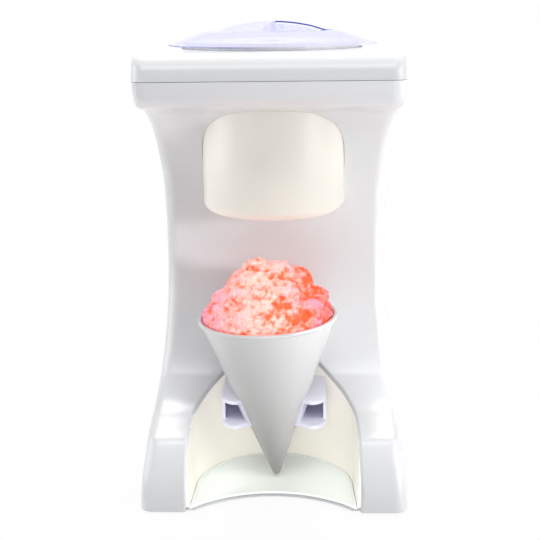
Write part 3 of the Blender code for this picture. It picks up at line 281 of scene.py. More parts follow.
class SnowConeLight(bpy.types.PropertyGroup):
    """Strength of the studio lamps, and the lens."""

    room: FloatProperty(
        name="Room", description="Brightness of the room", default=0.1, min=0, max=4
    )
    top: lamp_property("Top", "Softbox above", 5.2)
    steep: lamp_property("Steep", "Strip above the front", 3.0)
    back: lamp_property("Back", "Strip above the back", 9.1)
    left: lamp_property("Left", "Softbox at the left", 6.1)
    right: lamp_property("Right", "Softbox at the right", 11.2)
    front: lamp_property("Front", "Softbox at the front left", 0.9)
    card: lamp_property("Card", "Light thrown into the alcove", 5.6)
    card_top: lamp_property("High card", "Light thrown down into the alcove", 11.5)
    fill: lamp_property("Fill", "Gridded lamp on the waist", 0.1)
    lens: FloatProperty(
        name="Lens", description="Focal length in millimetres", default=68.83, min=10, max=300
    )


class SnowConeIce(bpy.types.PropertyGroup):
    """Size and grain of the shaved ice."""

    crown: length_property("Crown", "Height of the heap above the rim", 0.038, 0.01, 0.06)
    grain: length_property("Grain", "Size of one ice crystal", 0.0011, 0.0003, 0.003)
    voxel: length_property("Voxel", "Cell of the remesh", 0.0008, 0.0003, 0.003)
    seed: IntProperty(name="Seed", description="Which heap is drawn", default=4, min=0, max=999)


# Meshes


def solid(name, bm):
    """Put a bmesh in the scene as an object, its faces pointing out."""
    bmesh.ops.recalc_face_normals(bm, faces=bm.faces)
    mesh = bpy.data.meshes.new(name)
    bm.to_mesh(mesh)
    bm.free()
    obj = bpy.data.objects.new(name, mesh)
    bpy.context.scene.collection.objects.link(obj)
    return obj


def loft(name, rings, caps=True):
    """Skin rings of equal point count, listed from the bottom up."""
    bm = bmesh.new()
    rows = [[bm.verts.new(p) for p in ring] for ring in rings]
    for low, high in zip(rows, rows[1:]):
        for i in range(len(low)):
            j = (i + 1) % len(low)
            bm.faces.new((low[i], low[j], high[j], high[i]))
    if caps:
        bm.faces.new(list(reversed(rows[0])))
        bm.faces.new(rows[-1])
    return solid(name, bm)


def prism(name, outline, z0, z1):
    """A flat outline, counter-clockwise, raised from z0 to z1."""
    return loft(name, [[(x, y, z) for x, y in outline] for z in (z0, z1)])


def box(name, low, high):
    x0, y0, z0 = low
    x1, y1, z1 = high
    return prism(name, [(x0, y0), (x1, y0), (x1, y1), (x0, y1)], z0, z1)


def turned(name, profile, y=0.0, x=0.0, steps=ROUND):
    """Turn a profile of (radius, height) about Z. One that stays off the axis is closed on itself."""
    bm = bmesh.new()
    rows = []
    for radius, z in profile:
        if radius < 1e-7:
            rows.append([bm.verts.new((x, y, z))])
            continue
        ring = []
        for i in range(steps):
            turn = 2 * math.pi * i / steps
            ring.append(bm.verts.new((x + radius * math.cos(turn), y + radius * math.sin(turn), z)))
        rows.append(ring)
    pairs = list(zip(rows, rows[1:]))
    if len(rows[0]) > 1 or len(rows[-1]) > 1:
        pairs.append((rows[-1], rows[0]))
    for a, b in pairs:
        for i in range(steps):
            j = (i + 1) % steps
            corners = [a[i % len(a)], a[j % len(a)], b[j % len(b)], b[i % len(b)]]
            face = list(dict.fromkeys(corners))
            if len(face) > 2:
                bm.faces.new(face)
    return solid(name, bm)


def rod(name, radius, z0, z1, x=0.0, y=0.0, steps=ROUND):
    return turned(name, [(0, z0), (radius, z0), (radius, z1), (0, z1)], y, x, steps)


def combine(obj, operation, *others):
    """Cut, join or intersect with other objects, which are used up."""
    for other in others:
        step = obj.modifiers.new(operation.lower(), "BOOLEAN")
        step.operation = operation
        step.object = other
    settle(obj)
    for other in others:
        bpy.data.objects.remove(other, do_unlink=True)
    return obj


def settle(obj):
    """Turn an object's modifiers into mesh."""
    bpy.context.view_layer.update()
    graph = bpy.context.evaluated_depsgraph_get()
    mesh = bpy.data.meshes.new_from_object(obj.evaluated_get(graph))
    obj.modifiers.clear()
    obj.data = mesh
    return obj


def ease_edges(obj, width, angle=40, segments=2):
    """Round an object's sharp edges a little, as a mould does."""
    bevel = obj.modifiers.new("ease", "BEVEL")
    bevel.width = width
    bevel.segments = segments
    bevel.limit_method = "ANGLE"
    bevel.angle_limit = math.radians(angle)
    return settle(obj)


def dress(obj, material, body, node=None, sharp=32):
    """Shade, colour and hang a finished piece, which stands for its node of the part."""
    obj.data.materials.clear()
    obj.data.materials.append(material)
    obj.data.shade_smooth()
    obj.data.set_sharp_from_angle(angle=math.radians(sharp))
    if node:
        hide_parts(node)
    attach(obj, body)
    return obj


# Curves


def smooth(table, x):
    """Monotone cubic through (x, y) pairs, so that a curve never overshoots its points."""
    xs = [p[0] for p in table]
    ys = [p[1] for p in table]
    x = min(max(x, xs[0]), xs[-1])
    i = min(int(np.searchsorted(xs, x, side="right")) - 1, len(xs) - 2)
    steps = [(ys[k + 1] - ys[k]) / (xs[k + 1] - xs[k]) for k in range(len(xs) - 1)]

    def slope(k):
        if k in (0, len(xs) - 1):
            return steps[min(k, len(steps) - 1)]
        a, b = steps[k - 1], steps[k]
        return 0.0 if a * b <= 0 else 2 * a * b / (a + b)

    width = xs[i + 1] - xs[i]
    t = (x - xs[i]) / width
    rise = ys[i + 1] - ys[i]
    m0, m1 = slope(i) * width, slope(i + 1) * width
    return ys[i] + t * m0 + t * t * (3 * rise - 2 * m0 - m1) + t**3 * (m0 + m1 - 2 * rise)


def arc(cx, cy, radius, start, end, count):
    """Points on an arc, both ends included, angles in degrees."""
    angles = [math.radians(start + (end - start) * i / count) for i in range(count + 1)]
    return [(cx + radius * math.cos(a), cy + radius * math.sin(a)) for a in angles]


def front_y(z):
    return FRONT_Y + (WAIST_FRONT_Y - FRONT_Y) * smooth(FRONT_SHAPE, z / SEAM_Z)


def back_y(z):
    foot = (BACK_Y - WAIST_BACK_Y) * smooth(BACK_FOOT, z / SEAM_Z)
    return WAIST_BACK_Y + foot + (TOP_BACK_Y - WAIST_BACK_Y) * smooth(BACK_TOP, z / SEAM_Z)


def half_width(z):
    foot = (FOOT_HALF_WIDTH - WAIST_HALF_WIDTH) * smooth(FOOT_FLARE, z / SEAM_Z)
    top = (TOP_HALF_WIDTH - WAIST_HALF_WIDTH) * smooth(TOP_FLARE, z / SEAM_Z)
    return WAIST_HALF_WIDTH + foot + top


def inset(outline, z, gap, sign):
    """The curve parallel to an outline at a gap: sign +1 moves it to larger values."""
    values = []
    for i in range(-8, 9):
        step = gap * i / 8
        values.append(outline(z + step) + sign * math.sqrt(max(gap * gap - step * step, 0.0)))
    return max(values) if sign > 0 else min(values)


def rounded_ring(half, y0, y1, radius, z, per_corner=9):
    """A rounded rectangle at height z, counter-clockwise from the front right corner."""
    corners = ((half - radius, y0 + radius, -90), (half - radius, y1 - radius, 0))
    corners += ((radius - half, y1 - radius, 90), (radius - half, y0 + radius, 180))
    ring = []
    for cx, cy, start in corners:
        ring += [(x, y, z) for x, y in arc(cx, cy, radius, start, start + 90, per_corner)]
    return ring


def heights(low, high):
    """Heights between two, a row apart along the front curve."""
    levels = [low]
    steps = 1500
    run = 0.0
    for i in range(1, steps):
        a = low + (high - low) * (i - 1) / steps
        b = low + (high - low) * i / steps
        run += math.hypot(b - a, front_y(b) - front_y(a))
        if run > ROW:
            levels.append(b)
            run = 0.0
    return [*levels, high]


def housing_rings(gap, low, high):
    rings = []
    for z in heights(low, high):
        half = inset(half_width, z, gap, -1) if gap else half_width(z)
        y0 = inset(front_y, z, gap, 1) if gap else front_y(z)
        y1 = inset(back_y, z, gap, -1) if gap else back_y(z)
        rings.append(rounded_ring(half, y0, y1, CORNER_R - gap, z))
    return rings


def alcove_outline(grow, sweep=0.0, past=0.01, count=96):
    """Plan of the alcove: a half round at the back, and opening sides that run past the front."""
    opening = (ALCOVE_MOUTH - ALCOVE_R) / (ALCOVE_Y - FRONT_Y)
    mouth = ALCOVE_MOUTH + grow - sweep + opening * past
    back = arc(0, ALCOVE_Y - sweep, ALCOVE_R + grow - sweep, 0, 180, count)
    return [(mouth, FRONT_Y - past), *back, (-mouth, FRONT_Y - past)]


# Materials


def add(tree, kind, values=(), links=(), **options):
    """Add one node: values fill its sockets and links feed them from other sockets."""
    node = tree.nodes.new(kind)
    for name, value in options.items():
        setattr(node, name, value)
    for socket, value in dict(values).items():
        node.inputs[socket].default_value = value
    for socket, source in dict(links).items():
        tree.links.new(source, node.inputs[socket])
    return node


def principled(name, values):
    """A material with a Principled shader, its values set, and the part's own coordinates."""
    made = bpy.data.materials.new(name)
    made.use_nodes = True
    tree = made.node_tree
    shader = tree.nodes["Principled BSDF"]
    for socket, value in values.items():
        shader.inputs[socket].default_value = value
    return made, tree, shader, tree.nodes.new("ShaderNodeTexCoord").outputs["Object"]


def rgba(colour):
    return (*colour, 1.0)


def per_metre(size):
    """Noise scale that gives features of a size."""
    return 1.0 / size


def fed(tree, kind, items, **options):
    """Add a node whose sockets take either a value or another node's socket."""
    sockets = {i: item for i, item in items.items() if isinstance(item, bpy.types.NodeSocket)}
    values = {i: item for i, item in items.items() if i not in sockets}
    return add(tree, kind, values, sockets, **options)


def mixed(tree, share, first, second, blend="MIX"):
    """The colour that lies a share of the way from the first to the second."""
    items = {0: share, 6: first, 7: second}
    return fed(tree, "ShaderNodeMix", items, data_type="RGBA", blend_type=blend).outputs[2]


def worked_out(tree, operation, *items):
    return fed(tree, "ShaderNodeMath", dict(enumerate(items)), operation=operation).outputs[0]


def ranged(tree, value, ends, curve="LINEAR"):
    """A value moved from one range to another."""
    names = ("From Min", "From Max", "To Min", "To Max")
    links = {"Value": value}
    made = add(tree, "ShaderNodeMapRange", zip(names, ends), links, interpolation_type=curve)
    return made.outputs["Result"]


def clouds(tree, spot, size, detail):
    values = {"Scale": per_metre(size), "Detail": detail}
    return add(tree, "ShaderNodeTexNoise", values, {"Vector": spot}).outputs["Fac"]


def relief(tree, shader, strength, depth, height):
    """Raise and lower a finish by a depth in metres."""
    values = {"Strength": strength, "Distance": depth}
    bump = add(tree, "ShaderNodeBump", values, {"Height": height})
    tree.links.new(bump.outputs["Normal"], shader.inputs["Normal"])


def place(tree):
    """Sockets that hold where a point is: X, Y and Z in the part's own frame."""
    spot = add(tree, "ShaderNodeTexCoord").outputs["Object"]
    return add(tree, "ShaderNodeSeparateXYZ", {}, {0: spot}).outputs


def recolour(made, share, colour):
    """Let a finish go over to another colour by a share, which is worked out from its tree."""
    tree = made.node_tree
    base = tree.nodes["Principled BSDF"].inputs["Base Color"]
    tree.links.new(mixed(tree, share(tree), base.links[0].from_socket, rgba(colour)), base)
    return made


MOULD_FLOW = 0.045
SKIN_RELIEF = 0.00002
MILKY = {
    "Subsurface Weight": 0.25,
    "Subsurface Radius": (0.002, 0.002, 0.0025),
    "Subsurface Scale": 1.0,
}


def moulded(name, colour, roughness, values=(), wave=0.006, depth=SKIN_RELIEF, tint=0.03):
    """Injection moulded plastic: a polished tool leaves a bright skin with a slow, shallow waviness
    from shrinkage, and the skin's gloss and colour drift a little along the flow."""
    base = {"Base Color": rgba(colour), "Roughness": roughness, "IOR": 1.53, **dict(values)}
    made, tree, shader, spot = principled(name, base)
    flow = clouds(tree, spot, MOULD_FLOW, 2.0)
    dark = rgba([c * (1 - tint) for c in colour])
    pale = rgba([min(c * (1 + tint / 3), 1.0) for c in colour])
    tree.links.new(mixed(tree, flow, dark, pale), shader.inputs["Base Color"])
    gloss = ranged(tree, flow, (0.0, 1.0, roughness * 0.85, roughness * 1.2))
    tree.links.new(gloss, shader.inputs["Roughness"])
    relief(tree, shader, 0.35, depth, clouds(tree, spot, wave, 1.0))
    return made


def metal(name, colour, roughness, grain, stretch=(1, 1, 1)):
    """Worked metal: the tool leaves fine marks, drawn out along the way that it moved."""
    base = {"Base Color": rgba(colour), "Metallic": 1.0, "Roughness": roughness}
    made, tree, shader, spot = principled(name, base)
    lay = add(tree, "ShaderNodeMapping", {"Scale": stretch}, {"Vector": spot})
    marks = clouds(tree, lay.outputs[0], grain, 3.0)
    rough = ranged(tree, marks, (0.0, 1.0, roughness * 0.7, roughness * 1.4))
    tree.links.new(rough, shader.inputs["Roughness"])
    relief(tree, shader, 0.25, SKIN_RELIEF, marks)
    return made


FACE_ON = 0.3
GRAZING = 0.95
FACE_ON_COVER = 0.18
GRAZING_COVER = 0.8
SHADOW_SHARE = 0.25


def tinted_polycarbonate():
    """Clear moulded polycarbonate with a lavender dye: pale where the wall is seen straight on, deeper
    where it is seen at a slant. Painted shade makes it deep blue along the scoops' upper edges and in a
    line along the rim, darker on the left. Only the skins that face the eye are tinted, and its shadow is
    faint."""
    colours = bpy.context.scene.snow_cone_colours
    made, tree, shader, spot = principled("tinted_polycarbonate", {"Roughness": 0.06, "IOR": 1.58})
    # Painted shade: share of the dark blue marked on the lid's edges and rim.
    edge = add(tree, "ShaderNodeAttribute", attribute_name="painted_edge_shade").outputs["Fac"]
    slant = add(tree, "ShaderNodeLayerWeight", {"Blend": 0.5}).outputs["Facing"]
    ends = (FACE_ON, GRAZING, FACE_ON_COVER, GRAZING_COVER)
    cover_share = worked_out(tree, "MAXIMUM", ranged(tree, slant, ends, "SMOOTHSTEP"), edge)
    turned_away = add(tree, "ShaderNodeNewGeometry").outputs["Backfacing"]
    seen = worked_out(tree, "MULTIPLY", cover_share, worked_out(tree, "SUBTRACT", 1.0, turned_away))
    shadow = add(tree, "ShaderNodeLightPath").outputs["Is Shadow Ray"]
    clear = ranged(tree, shadow, (0.0, 1.0, 1.0, SHADOW_SHARE))
    tree.links.new(worked_out(tree, "MULTIPLY", seen, clear), shader.inputs["Alpha"])
    plain = mixed(tree, slant, rgba(linear("#F4F3FC")), rgba(colours.lid))
    tree.links.new(mixed(tree, edge, plain, rgba(colours.edge)), shader.inputs["Base Color"])
    relief(tree, shader, 0.2, SKIN_RELIEF, clouds(tree, spot, 0.009, 1.0))
    return made


def white_polystyrene():
    """Moulded white polystyrene with painted shade: its colour turns greyer on the way down to the tip."""
    c = bpy.context.scene.snow_cone_colours

    # Painted shade: share of the tip grey, nought at the rim and one at the tip.
    def down(tree):
        return ranged(tree, place(tree)["Z"], (CONE_RIM_Z, CONE_TIP_Z, 0.0, 1.0))

    return recolour(moulded("white_polystyrene", c.cup, 0.22), down, c.painted_tip_shade)


def clouded_polypropylene():
    """Moulded polypropylene, clouded and faintly lavender, with painted light: between the fork's decks
    its colour goes over to a paler, bluer one, more so deeper into the pocket."""
    c = bpy.context.scene.snow_cone_colours
    middle = (LOWER_DECK_Z + UPPER_DECK_Z - HOLDER_T) / 2
    half = (UPPER_DECK_Z - HOLDER_T - LOWER_DECK_Z) / 2 + PAINTED_POCKET_SKIN

    # Painted light: share of the pocket colour between the decks and inside the side walls, growing
    # towards the back.
    def pocket(tree):
        spot = place(tree)
        level = worked_out(tree, "COMPARE", spot["Z"], middle, half)
        across = worked_out(tree, "ABSOLUTE", spot["X"])
        inside = worked_out(tree, "LESS_THAN", across, HOLDER_HALF_WIDTH - PAINTED_POCKET_SKIN)
        deep = ranged(tree, spot["Y"], (PAINTED_POCKET_START_Y, PAINTED_POCKET_FULL_Y, 0.0, 1.0))
        return worked_out(tree, "MULTIPLY", worked_out(tree, "MULTIPLY", level, inside), deep)

    return recolour(moulded("clouded_polypropylene", c.holder, 0.3, MILKY), pocket, c.pocket)


def syrup_ice():
    """Shaved ice with syrup: crystals about a millimetre across scatter the light and glint, and
    the syrup runs into the gaps between the lumps, where it is deepest."""
    colours = bpy.context.scene.snow_cone_colours
    grain = bpy.context.scene.snow_cone_ice.grain
    scatter = {
        "Roughness": 0.32,
        "IOR": 1.31,
        "Subsurface Weight": 0.75,
        "Subsurface Radius": (0.0045, 0.0016, 0.0012),
        "Subsurface Scale": 1.0,
        "Specular IOR Level": 0.7,
    }
    made, tree, shader, spot = principled("syrup_ice", scatter)
    shader.subsurface_method = "RANDOM_WALK"
    gap = add(tree, "ShaderNodeAttribute", attribute_name="syrup").outputs["Fac"]
    side = add(tree, "ShaderNodeAttribute", attribute_name="rose").outputs["Fac"]
    pale = mixed(tree, side, rgba(colours.syrup_pale), rgba(colours.syrup_rose))
    deep = mixed(tree, gap, pale, rgba(colours.syrup_deep))
    values = {"Scale": per_metre(grain)}
    crystals = add(tree, "ShaderNodeTexVoronoi", values, {"Vector": spot})
    speck = ranged(tree, crystals.outputs["Color"], (0.0, 1.0, 0.86, 1.12))
    tree.links.new(mixed(tree, 1.0, deep, speck, "MULTIPLY"), shader.inputs["Base Color"])
    fine = clouds(tree, spot, grain * 1.6, 3.0)
    height = worked_out(tree, "ADD", crystals.outputs["Distance"], fine)
    relief(tree, shader, 0.8, 0.0004, height)
    return made


def make_materials():
    """One material for each slot of the part's record."""
    c = bpy.context.scene.snow_cone_colours
    ground = metal("ground_stainless_steel", linear("#C9C9CB"), 0.24, 0.0012, (1, 12, 1))
    return {
        "white_abs": moulded("gloss_white_abs", c.body, 0.2),
        "ivory_abs": moulded("gloss_ivory_abs", c.ivory, 0.2, {"Specular IOR Level": 0.3}),
        "holder_plastic": clouded_polypropylene(),
        "lid_plastic": tinted_polycarbonate(),
        "tray_plastic": moulded("mint_polystyrene", c.tray, 0.12, MILKY),
        "cone_plastic": white_polystyrene(),
        "shaved_ice": syrup_ice(),
        "steel": ground,
        "motor_steel": metal("zinc_plated_steel", linear("#B4B7B9"), 0.36, 0.002),
        "brass": metal("turned_brass", linear("#C9A25A"), 0.28, 0.0006, (1, 1, 8)),
        "acetal": moulded("natural_acetal", linear("#E9E9E4"), 0.38, MILKY),
        "black_plastic": moulded("black_nylon", linear("#1B1B1C"), 0.42, wave=0.0015),
        "rubber": moulded("moulded_rubber", linear("#2A2A2B"), 0.75, wave=0.001, depth=0.00005),
    }


MATERIALS = {}


# Pieces


FRONT_FOOT_Z = 0.042 * SEAM_Z
FRONT_NECK_Z = 0.522 * SEAM_Z


def opening_path():
    """The line where the alcove meets the curved front panel, from the left foot to the right one."""

    def panel_z(y):
        low, high = FRONT_FOOT_Z, FRONT_NECK_Z
        for _ in range(40):
            middle = (low + high) / 2
            low, high = (middle, high) if front_y(middle) < y else (low, middle)
        return low

    mouth = ALCOVE_MOUTH
    side = []
    for i in range(1, 20):
        side.append((mouth + (ALCOVE_R - mouth) * i / 20, FRONT_Y + (ALCOVE_Y - FRONT_Y) * i / 20))
    plan = [*side, *arc(0, ALCOVE_Y, ALCOVE_R, 0, 90, 60)]
    right = [(mouth, FRONT_Y, FRONT_FOOT_Z * (i - 2) / 4) for i in range(6)]
    right += [(x, y, panel_z(y)) for x, y in plan]
    left = [(-x, y, z) for x, y, z in reversed(right[:-1])]
    return [Vector(p) for p in [*right, *left]]


def lip_cutter():
    """Rounds the edge of the alcove opening: a swept corner less its round, used as a cutter."""
    path = opening_path()
    rings = []
    for i, point in enumerate(path):
        step = 0.0005
        rise = (front_y(point.z + step) - front_y(point.z - step)) / (2 * step)
        panel = Vector((0, -1, rise)).normalized()
        if point.y > ALCOVE_Y:
            wall = Vector((-point.x, ALCOVE_Y - point.y, 0)).normalized()
        else:
            slope = (ALCOVE_MOUTH - ALCOVE_R) / (ALCOVE_Y - FRONT_Y)
            wall = Vector((-math.copysign(1, point.x), -slope, 0)).normalized()
        angle = panel.angle(wall)
        reach = LIP_R * math.tan(angle / 2)
        along_panel = -(wall - wall.dot(panel) * panel).normalized()
        along_wall = -(panel - panel.dot(wall) * wall).normalized()
        a = point + along_panel * reach
        b = point + along_wall * reach
        ring = [a + panel * 0.001, point + (panel + wall) * 0.002, b + wall * 0.001]
        for k in range(7):
            t = 1 - k / 6
            ring.append(a * (1 - t) ** 2 + point * 2 * t * (1 - t) + b * t * t)
        rings.append([tuple(p) for p in ring])
    return loft("lip_cutter", rings)


def housing_shells():
    high = SEAM_Z - FIT / 2
    shells = []
    halves = {
        "front_shell": (-REACH, SPLIT_Y - FIT / 2),
        "rear_shell": (SPLIT_Y + FIT / 2, REACH),
    }
    for name, (lower, upper) in halves.items():
        shell = loft(name, housing_rings(0.0, FEET_H, high))
        hollow = loft("hollow", housing_rings(WALL, FEET_H - OVER, high + OVER))
        keep = box("keep", (-REACH, lower, -REACH), (REACH, upper, 2 * REACH))
        combine(shell, "DIFFERENCE", hollow)
        combine(shell, "INTERSECT", keep)
        shells.append(shell)
    front, rear = shells
    alcove = prism("alcove_cutter", alcove_outline(0.0), -OVER, LINER_TOP_Z)
    drum = rod("drum_cutter", CHAMBER_R + FIT, CHAMBER_FLOOR_Z - FIT, SEAM_Z + OVER, 0, AXIS_Y)
    combine(front, "DIFFERENCE", alcove, drum)
    combine(front, "DIFFERENCE", lip_cutter())
    near = (WAIST_BACK_Y + SPLIT_Y) / 2
    for i in range(VENT_ROWS):
        z = VENT_LOW_Z + i * VENT_STEP
        vent = box("vent", (-VENT_HALF_WIDTH, near, z), (VENT_HALF_WIDTH, REACH, z + VENT_H))
        combine(rear, "DIFFERENCE", vent)
    lit_by_fill(dress(front, MATERIALS["white_abs"], "base", "front_housing", 40))
    lit_by_fill(dress(rear, MATERIALS["white_abs"], "base", "rear_housing", 40))


def cover_rings(gap, low):
    """Rings of the top cover: a quarter round along the front and back, small edges at the sides."""
    low = low - (OVER if gap else 0.0)
    top = COVER_TOP_Z - gap
    edge = top - SEAM_Z
    rings = [rounded_ring(TOP_HALF_WIDTH - gap, FRONT_Y + gap, TOP_BACK_Y - gap, CORNER_R - gap, low)]
    steps = 24
    for i in range(1, steps + 1):
        turn = math.pi / 2 * i / steps
        z = top - edge + edge * math.sin(turn)
        if z <= low + 0.0002:
            continue
        back = edge * (1 - math.cos(turn))
        rise = max(z - (top - COVER_EDGE_R), 0.0)
        side = COVER_EDGE_R - math.sqrt(max(COVER_EDGE_R**2 - rise**2, 0.0))
        y0, y1 = FRONT_Y + gap + back, TOP_BACK_Y - gap - back
        rings.append(rounded_ring(TOP_HALF_WIDTH - gap - side, y0, y1, CORNER_R - gap, z))
    return rings


def cover():
    low = SEAM_Z + FIT / 2
    made = loft("cover_shell", cover_rings(0.0, low))
    hollow = loft("cover_hollow", cover_rings(WALL, low))
    mouth = rod("cover_mouth", HOPPER_R + FIT, SEAM_Z, COVER_TOP_Z + OVER, 0, AXIS_Y)
    combine(made, "DIFFERENCE", hollow, mouth)
    dress(made, MATERIALS["white_abs"], "base", "top_cover", 40)


def sweep_at(z):
    """How far the alcove's wall is swept in at a height."""
    start = FLOOR_Z + TRAY_T
    share = min(max((z - start) / (ALCOVE_SWEEP_Z - start), 0.0), 1.0)
    return ALCOVE_SWEEP * (1 - share) ** 2


def lining():
    """Ivory wall of the alcove, its front edge behind the white shell, its foot swept in to the tray."""
    wall = prism("alcove_lining", alcove_outline(LINER_T), FLOOR_Z, LINER_TOP_Z)
    levels = [-OVER, *np.linspace(FLOOR_Z + TRAY_T, ALCOVE_SWEEP_Z, 17), LINER_TOP_Z + OVER]
    plans = [(z, alcove_outline(0.0, sweep_at(z), 0.02)) for z in levels]
    inside = loft("inside", [[(x, y, z) for x, y in plan] for z, plan in plans])
    trim = loft("lining_trim", housing_rings(WALL + FIT, FEET_H - OVER, SEAM_Z))
    combine(wall, "INTERSECT", trim)
    combine(wall, "DIFFERENCE", inside, *[screw_hole(x) for x in (-HOLDER_SCREW_X, HOLDER_SCREW_X)])
    lit_by_cards(dress(wall, MATERIALS["ivory_abs"], "base", "alcove_liner"))


def screw_hole(x):
    """Cutter of a screw hole through the fork's back and the alcove's wall."""
    z = (UPPER_DECK_Z + LOWER_DECK_Z - HOLDER_T) / 2
    hole = rod("screw_hole", HOLDER_SCREW_R, -3 * LINER_T, 3 * LINER_T, steps=32)
    place_at = Matrix.Translation((x, ALCOVE_Y + ALCOVE_R, z))
    hole.data.transform(place_at @ Matrix.Rotation(math.pi / 2, 4, "X"))
    return hole


def front_arc(grow):
    """The round that hollows the front edge of the tray."""
    top = FLOOR_Z + TRAY_T + OVER
    return rod("front_arc", TRAY_EDGE_R + grow, -OVER, top, 0, TRAY_EDGE_Y - TRAY_EDGE_R, 256)


def tray():
    top = FLOOR_Z + TRAY_T
    made = prism("tray", alcove_outline(-FIT, ALCOVE_SWEEP), FLOOR_Z, top)
    plan = alcove_outline(-FIT - TRAY_RIM_W, ALCOVE_SWEEP, 0.03)
    dish = prism("dish", plan, top - TRAY_RIM_H, top + 2 * OVER)
    combine(dish, "DIFFERENCE", front_arc(TRAY_RIM_W))
    combine(made, "DIFFERENCE", front_arc(0.0), dish)
    ease_edges(made, 0.0003)
    lit_by_cards(dress(made, MATERIALS["tray_plastic"], "tray", "drip_tray"))


MOTOR_SCREW_TURNS = (-15, 90, 195)


def drum():
    """Ivory drum: the snow chamber's round wall, its floor with the outlet, the gear case behind."""
    e = CHAMBER_EDGE_R
    low = CHAMBER_FLOOR_Z
    wall = CHAMBER_WALL
    r = CHAMBER_R - wall
    outer = [(0, CHAMBER_TOP_Z), (CHAMBER_R, CHAMBER_TOP_Z)]
    outer += [(CHAMBER_R - e + x, low + e + z) for x, z in arc(0, 0, e, 0, -90, 12)]
    outer += [(HUB_R + 0.0007, low), (HUB_R, low - BOSS_H), (0, low - BOSS_H)]
    made = turned("drum", outer, AXIS_Y)
    room = [(0, CHAMBER_TOP_Z + OVER), (r, CHAMBER_TOP_Z + OVER)]
    room += [(r - e + wall + x, low + e + z) for x, z in arc(0, 0, e - wall, 0, -90, 8)]
    inside = turned("room", [*room, (0, low + wall)], AXIS_Y)
    side = CASE_HALF_WIDTH
    high = CHAMBER_TOP_Z + 2 * OVER
    corner = (-side, AXIS_Y + r - 0.02, CASE_FLOOR_Z)
    combine(made, "UNION", box("case", corner, (side, CASE_BACK_Y, CASE_TOP_Z)))
    side -= CASE_WALL
    behind = AXIS_Y + CHAMBER_R + 0.0015
    corner = (-side, behind, CASE_FLOOR_Z + CASE_WALL)
    pocket = box("pocket", corner, (side, CASE_BACK_Y - CASE_WALL, high))
    window = box("window", (-side, AXIS_Y + 0.02, GEAR_Z - 0.002), (side, behind + OVER, high))
    outline = arc(0, AXIS_Y, OUTLET_R_OUT, -90 - OUTLET_TURN, -90 + OUTLET_TURN, 48)
    outline += arc(0, AXIS_Y, OUTLET_R_IN, -90 + OUTLET_TURN, -90 - OUTLET_TURN, 24)
    outlet = prism("outlet", outline, low - OVER, low + e)
    bore = rod("bore", BUSH_BORE_R, low - BOSS_H - OVER, low + wall + OVER, 0, AXIS_Y, 48)
    over = CASE_FLOOR_Z + CASE_WALL + OVER
    nose = rod("nose", MOTOR_NOSE_R + 0.0015, CASE_FLOOR_Z - OVER, over, 0, MOTOR_Y, 48)
    combine(made, "DIFFERENCE", inside, pocket, window, outlet, bore, nose)
    for turn in map(math.radians, MOTOR_SCREW_TURNS):
        x, y = MOTOR_SCREW_R * math.cos(turn), MOTOR_Y + MOTOR_SCREW_R * math.sin(turn)
        combine(made, "DIFFERENCE", rod("hole", SCREW_R + FIT, CASE_FLOOR_Z - OVER, over, x, y, 24))
    dress(made, MATERIALS["ivory_abs"], "base", "snow_chamber")


def cone_half_angle():
    height = CONE_RIM_Z - CONE_TIP_Z
    angle = math.atan(CONE_R / height)
    for _ in range(8):
        angle = math.atan(CONE_R / (height - CONE_TIP_R + CONE_TIP_R / math.sin(angle)))
    return angle


def cone_radius(z):
    angle = cone_half_angle()
    return (z - CONE_TIP_Z - CONE_TIP_R + CONE_TIP_R / math.sin(angle)) * math.tan(angle)


def cone_axis_x(z):
    return CONE_FOOT_X - math.tan(CONE_LEAN) * (z - CONE_TIP_Z)


def cone_wall(offset, top):
    """Half profile of the cone, moved in by an offset, from a height down to the round tip."""
    angle = cone_half_angle()
    tip = CONE_TIP_R - offset
    apex = CONE_TIP_R - tip / math.sin(angle)
    points = [((top - apex) * math.tan(angle), top)]
    for i in range(9):
        turn = angle + (math.pi / 2 - angle) * i / 8
        points.append((tip * math.cos(turn), CONE_TIP_R - tip * math.sin(turn)))
    points[-1] = (0.0, points[-1][1])
    return points


def stand_cone(obj):
    """Put what is made about the cone's own axis in its leaning place."""
    foot = Matrix.Translation((CONE_FOOT_X, CONE_Y, CONE_TIP_Z))
    obj.data.transform(foot @ Matrix.Rotation(-CONE_LEAN, 4, "Y"))
    return obj


CUP_LIP_R = 0.0008


def cup():
    """White cone cup: a thin wall, and a rolled lip that turns back under itself."""
    height = CONE_RIM_Z - CONE_TIP_Z
    outer = cone_wall(0.0, height)
    inner = cone_wall(CONE_WALL, height)
    edge = outer[0][0] + CONE_LIP
    lip = arc(edge - CUP_LIP_R, height - CUP_LIP_R, CUP_LIP_R, 90, -20, 6)
    rim = [(inner[0][0] + 0.0003, height), *lip]
    rim += [(edge - 0.0002, height - 0.0020), (edge - 0.0019, height - 0.0029)]
    profile = [*reversed(inner[1:]), (inner[0][0] - 0.0001, height - 0.0004), *rim, *outer[1:]]
    made = stand_cone(turned("cone_cup", profile, steps=192))
    lit_by_fill(dress(made, MATERIALS["cone_plastic"], "cone", "snow_cone_cup"))


def around_cone(name, grow, low, high):
    """Frustum about the leaning cone, its side a distance outside the cone's."""
    rings = []
    for z in (low, high):
        radius = cone_radius(z) + CONE_ROOM + grow
        turn = arc(cone_axis_x(z), CONE_Y, radius, 0, 360 - 360 / ROUND, ROUND - 1)
        rings.append([(x, y, z) for x, y in turn])
    return loft(name, rings)


def holder_back_reach():
    """Angle at which the holder's sides meet the alcove's wall."""
    return math.degrees(math.acos(HOLDER_HALF_WIDTH / (ALCOVE_R - FIT)))


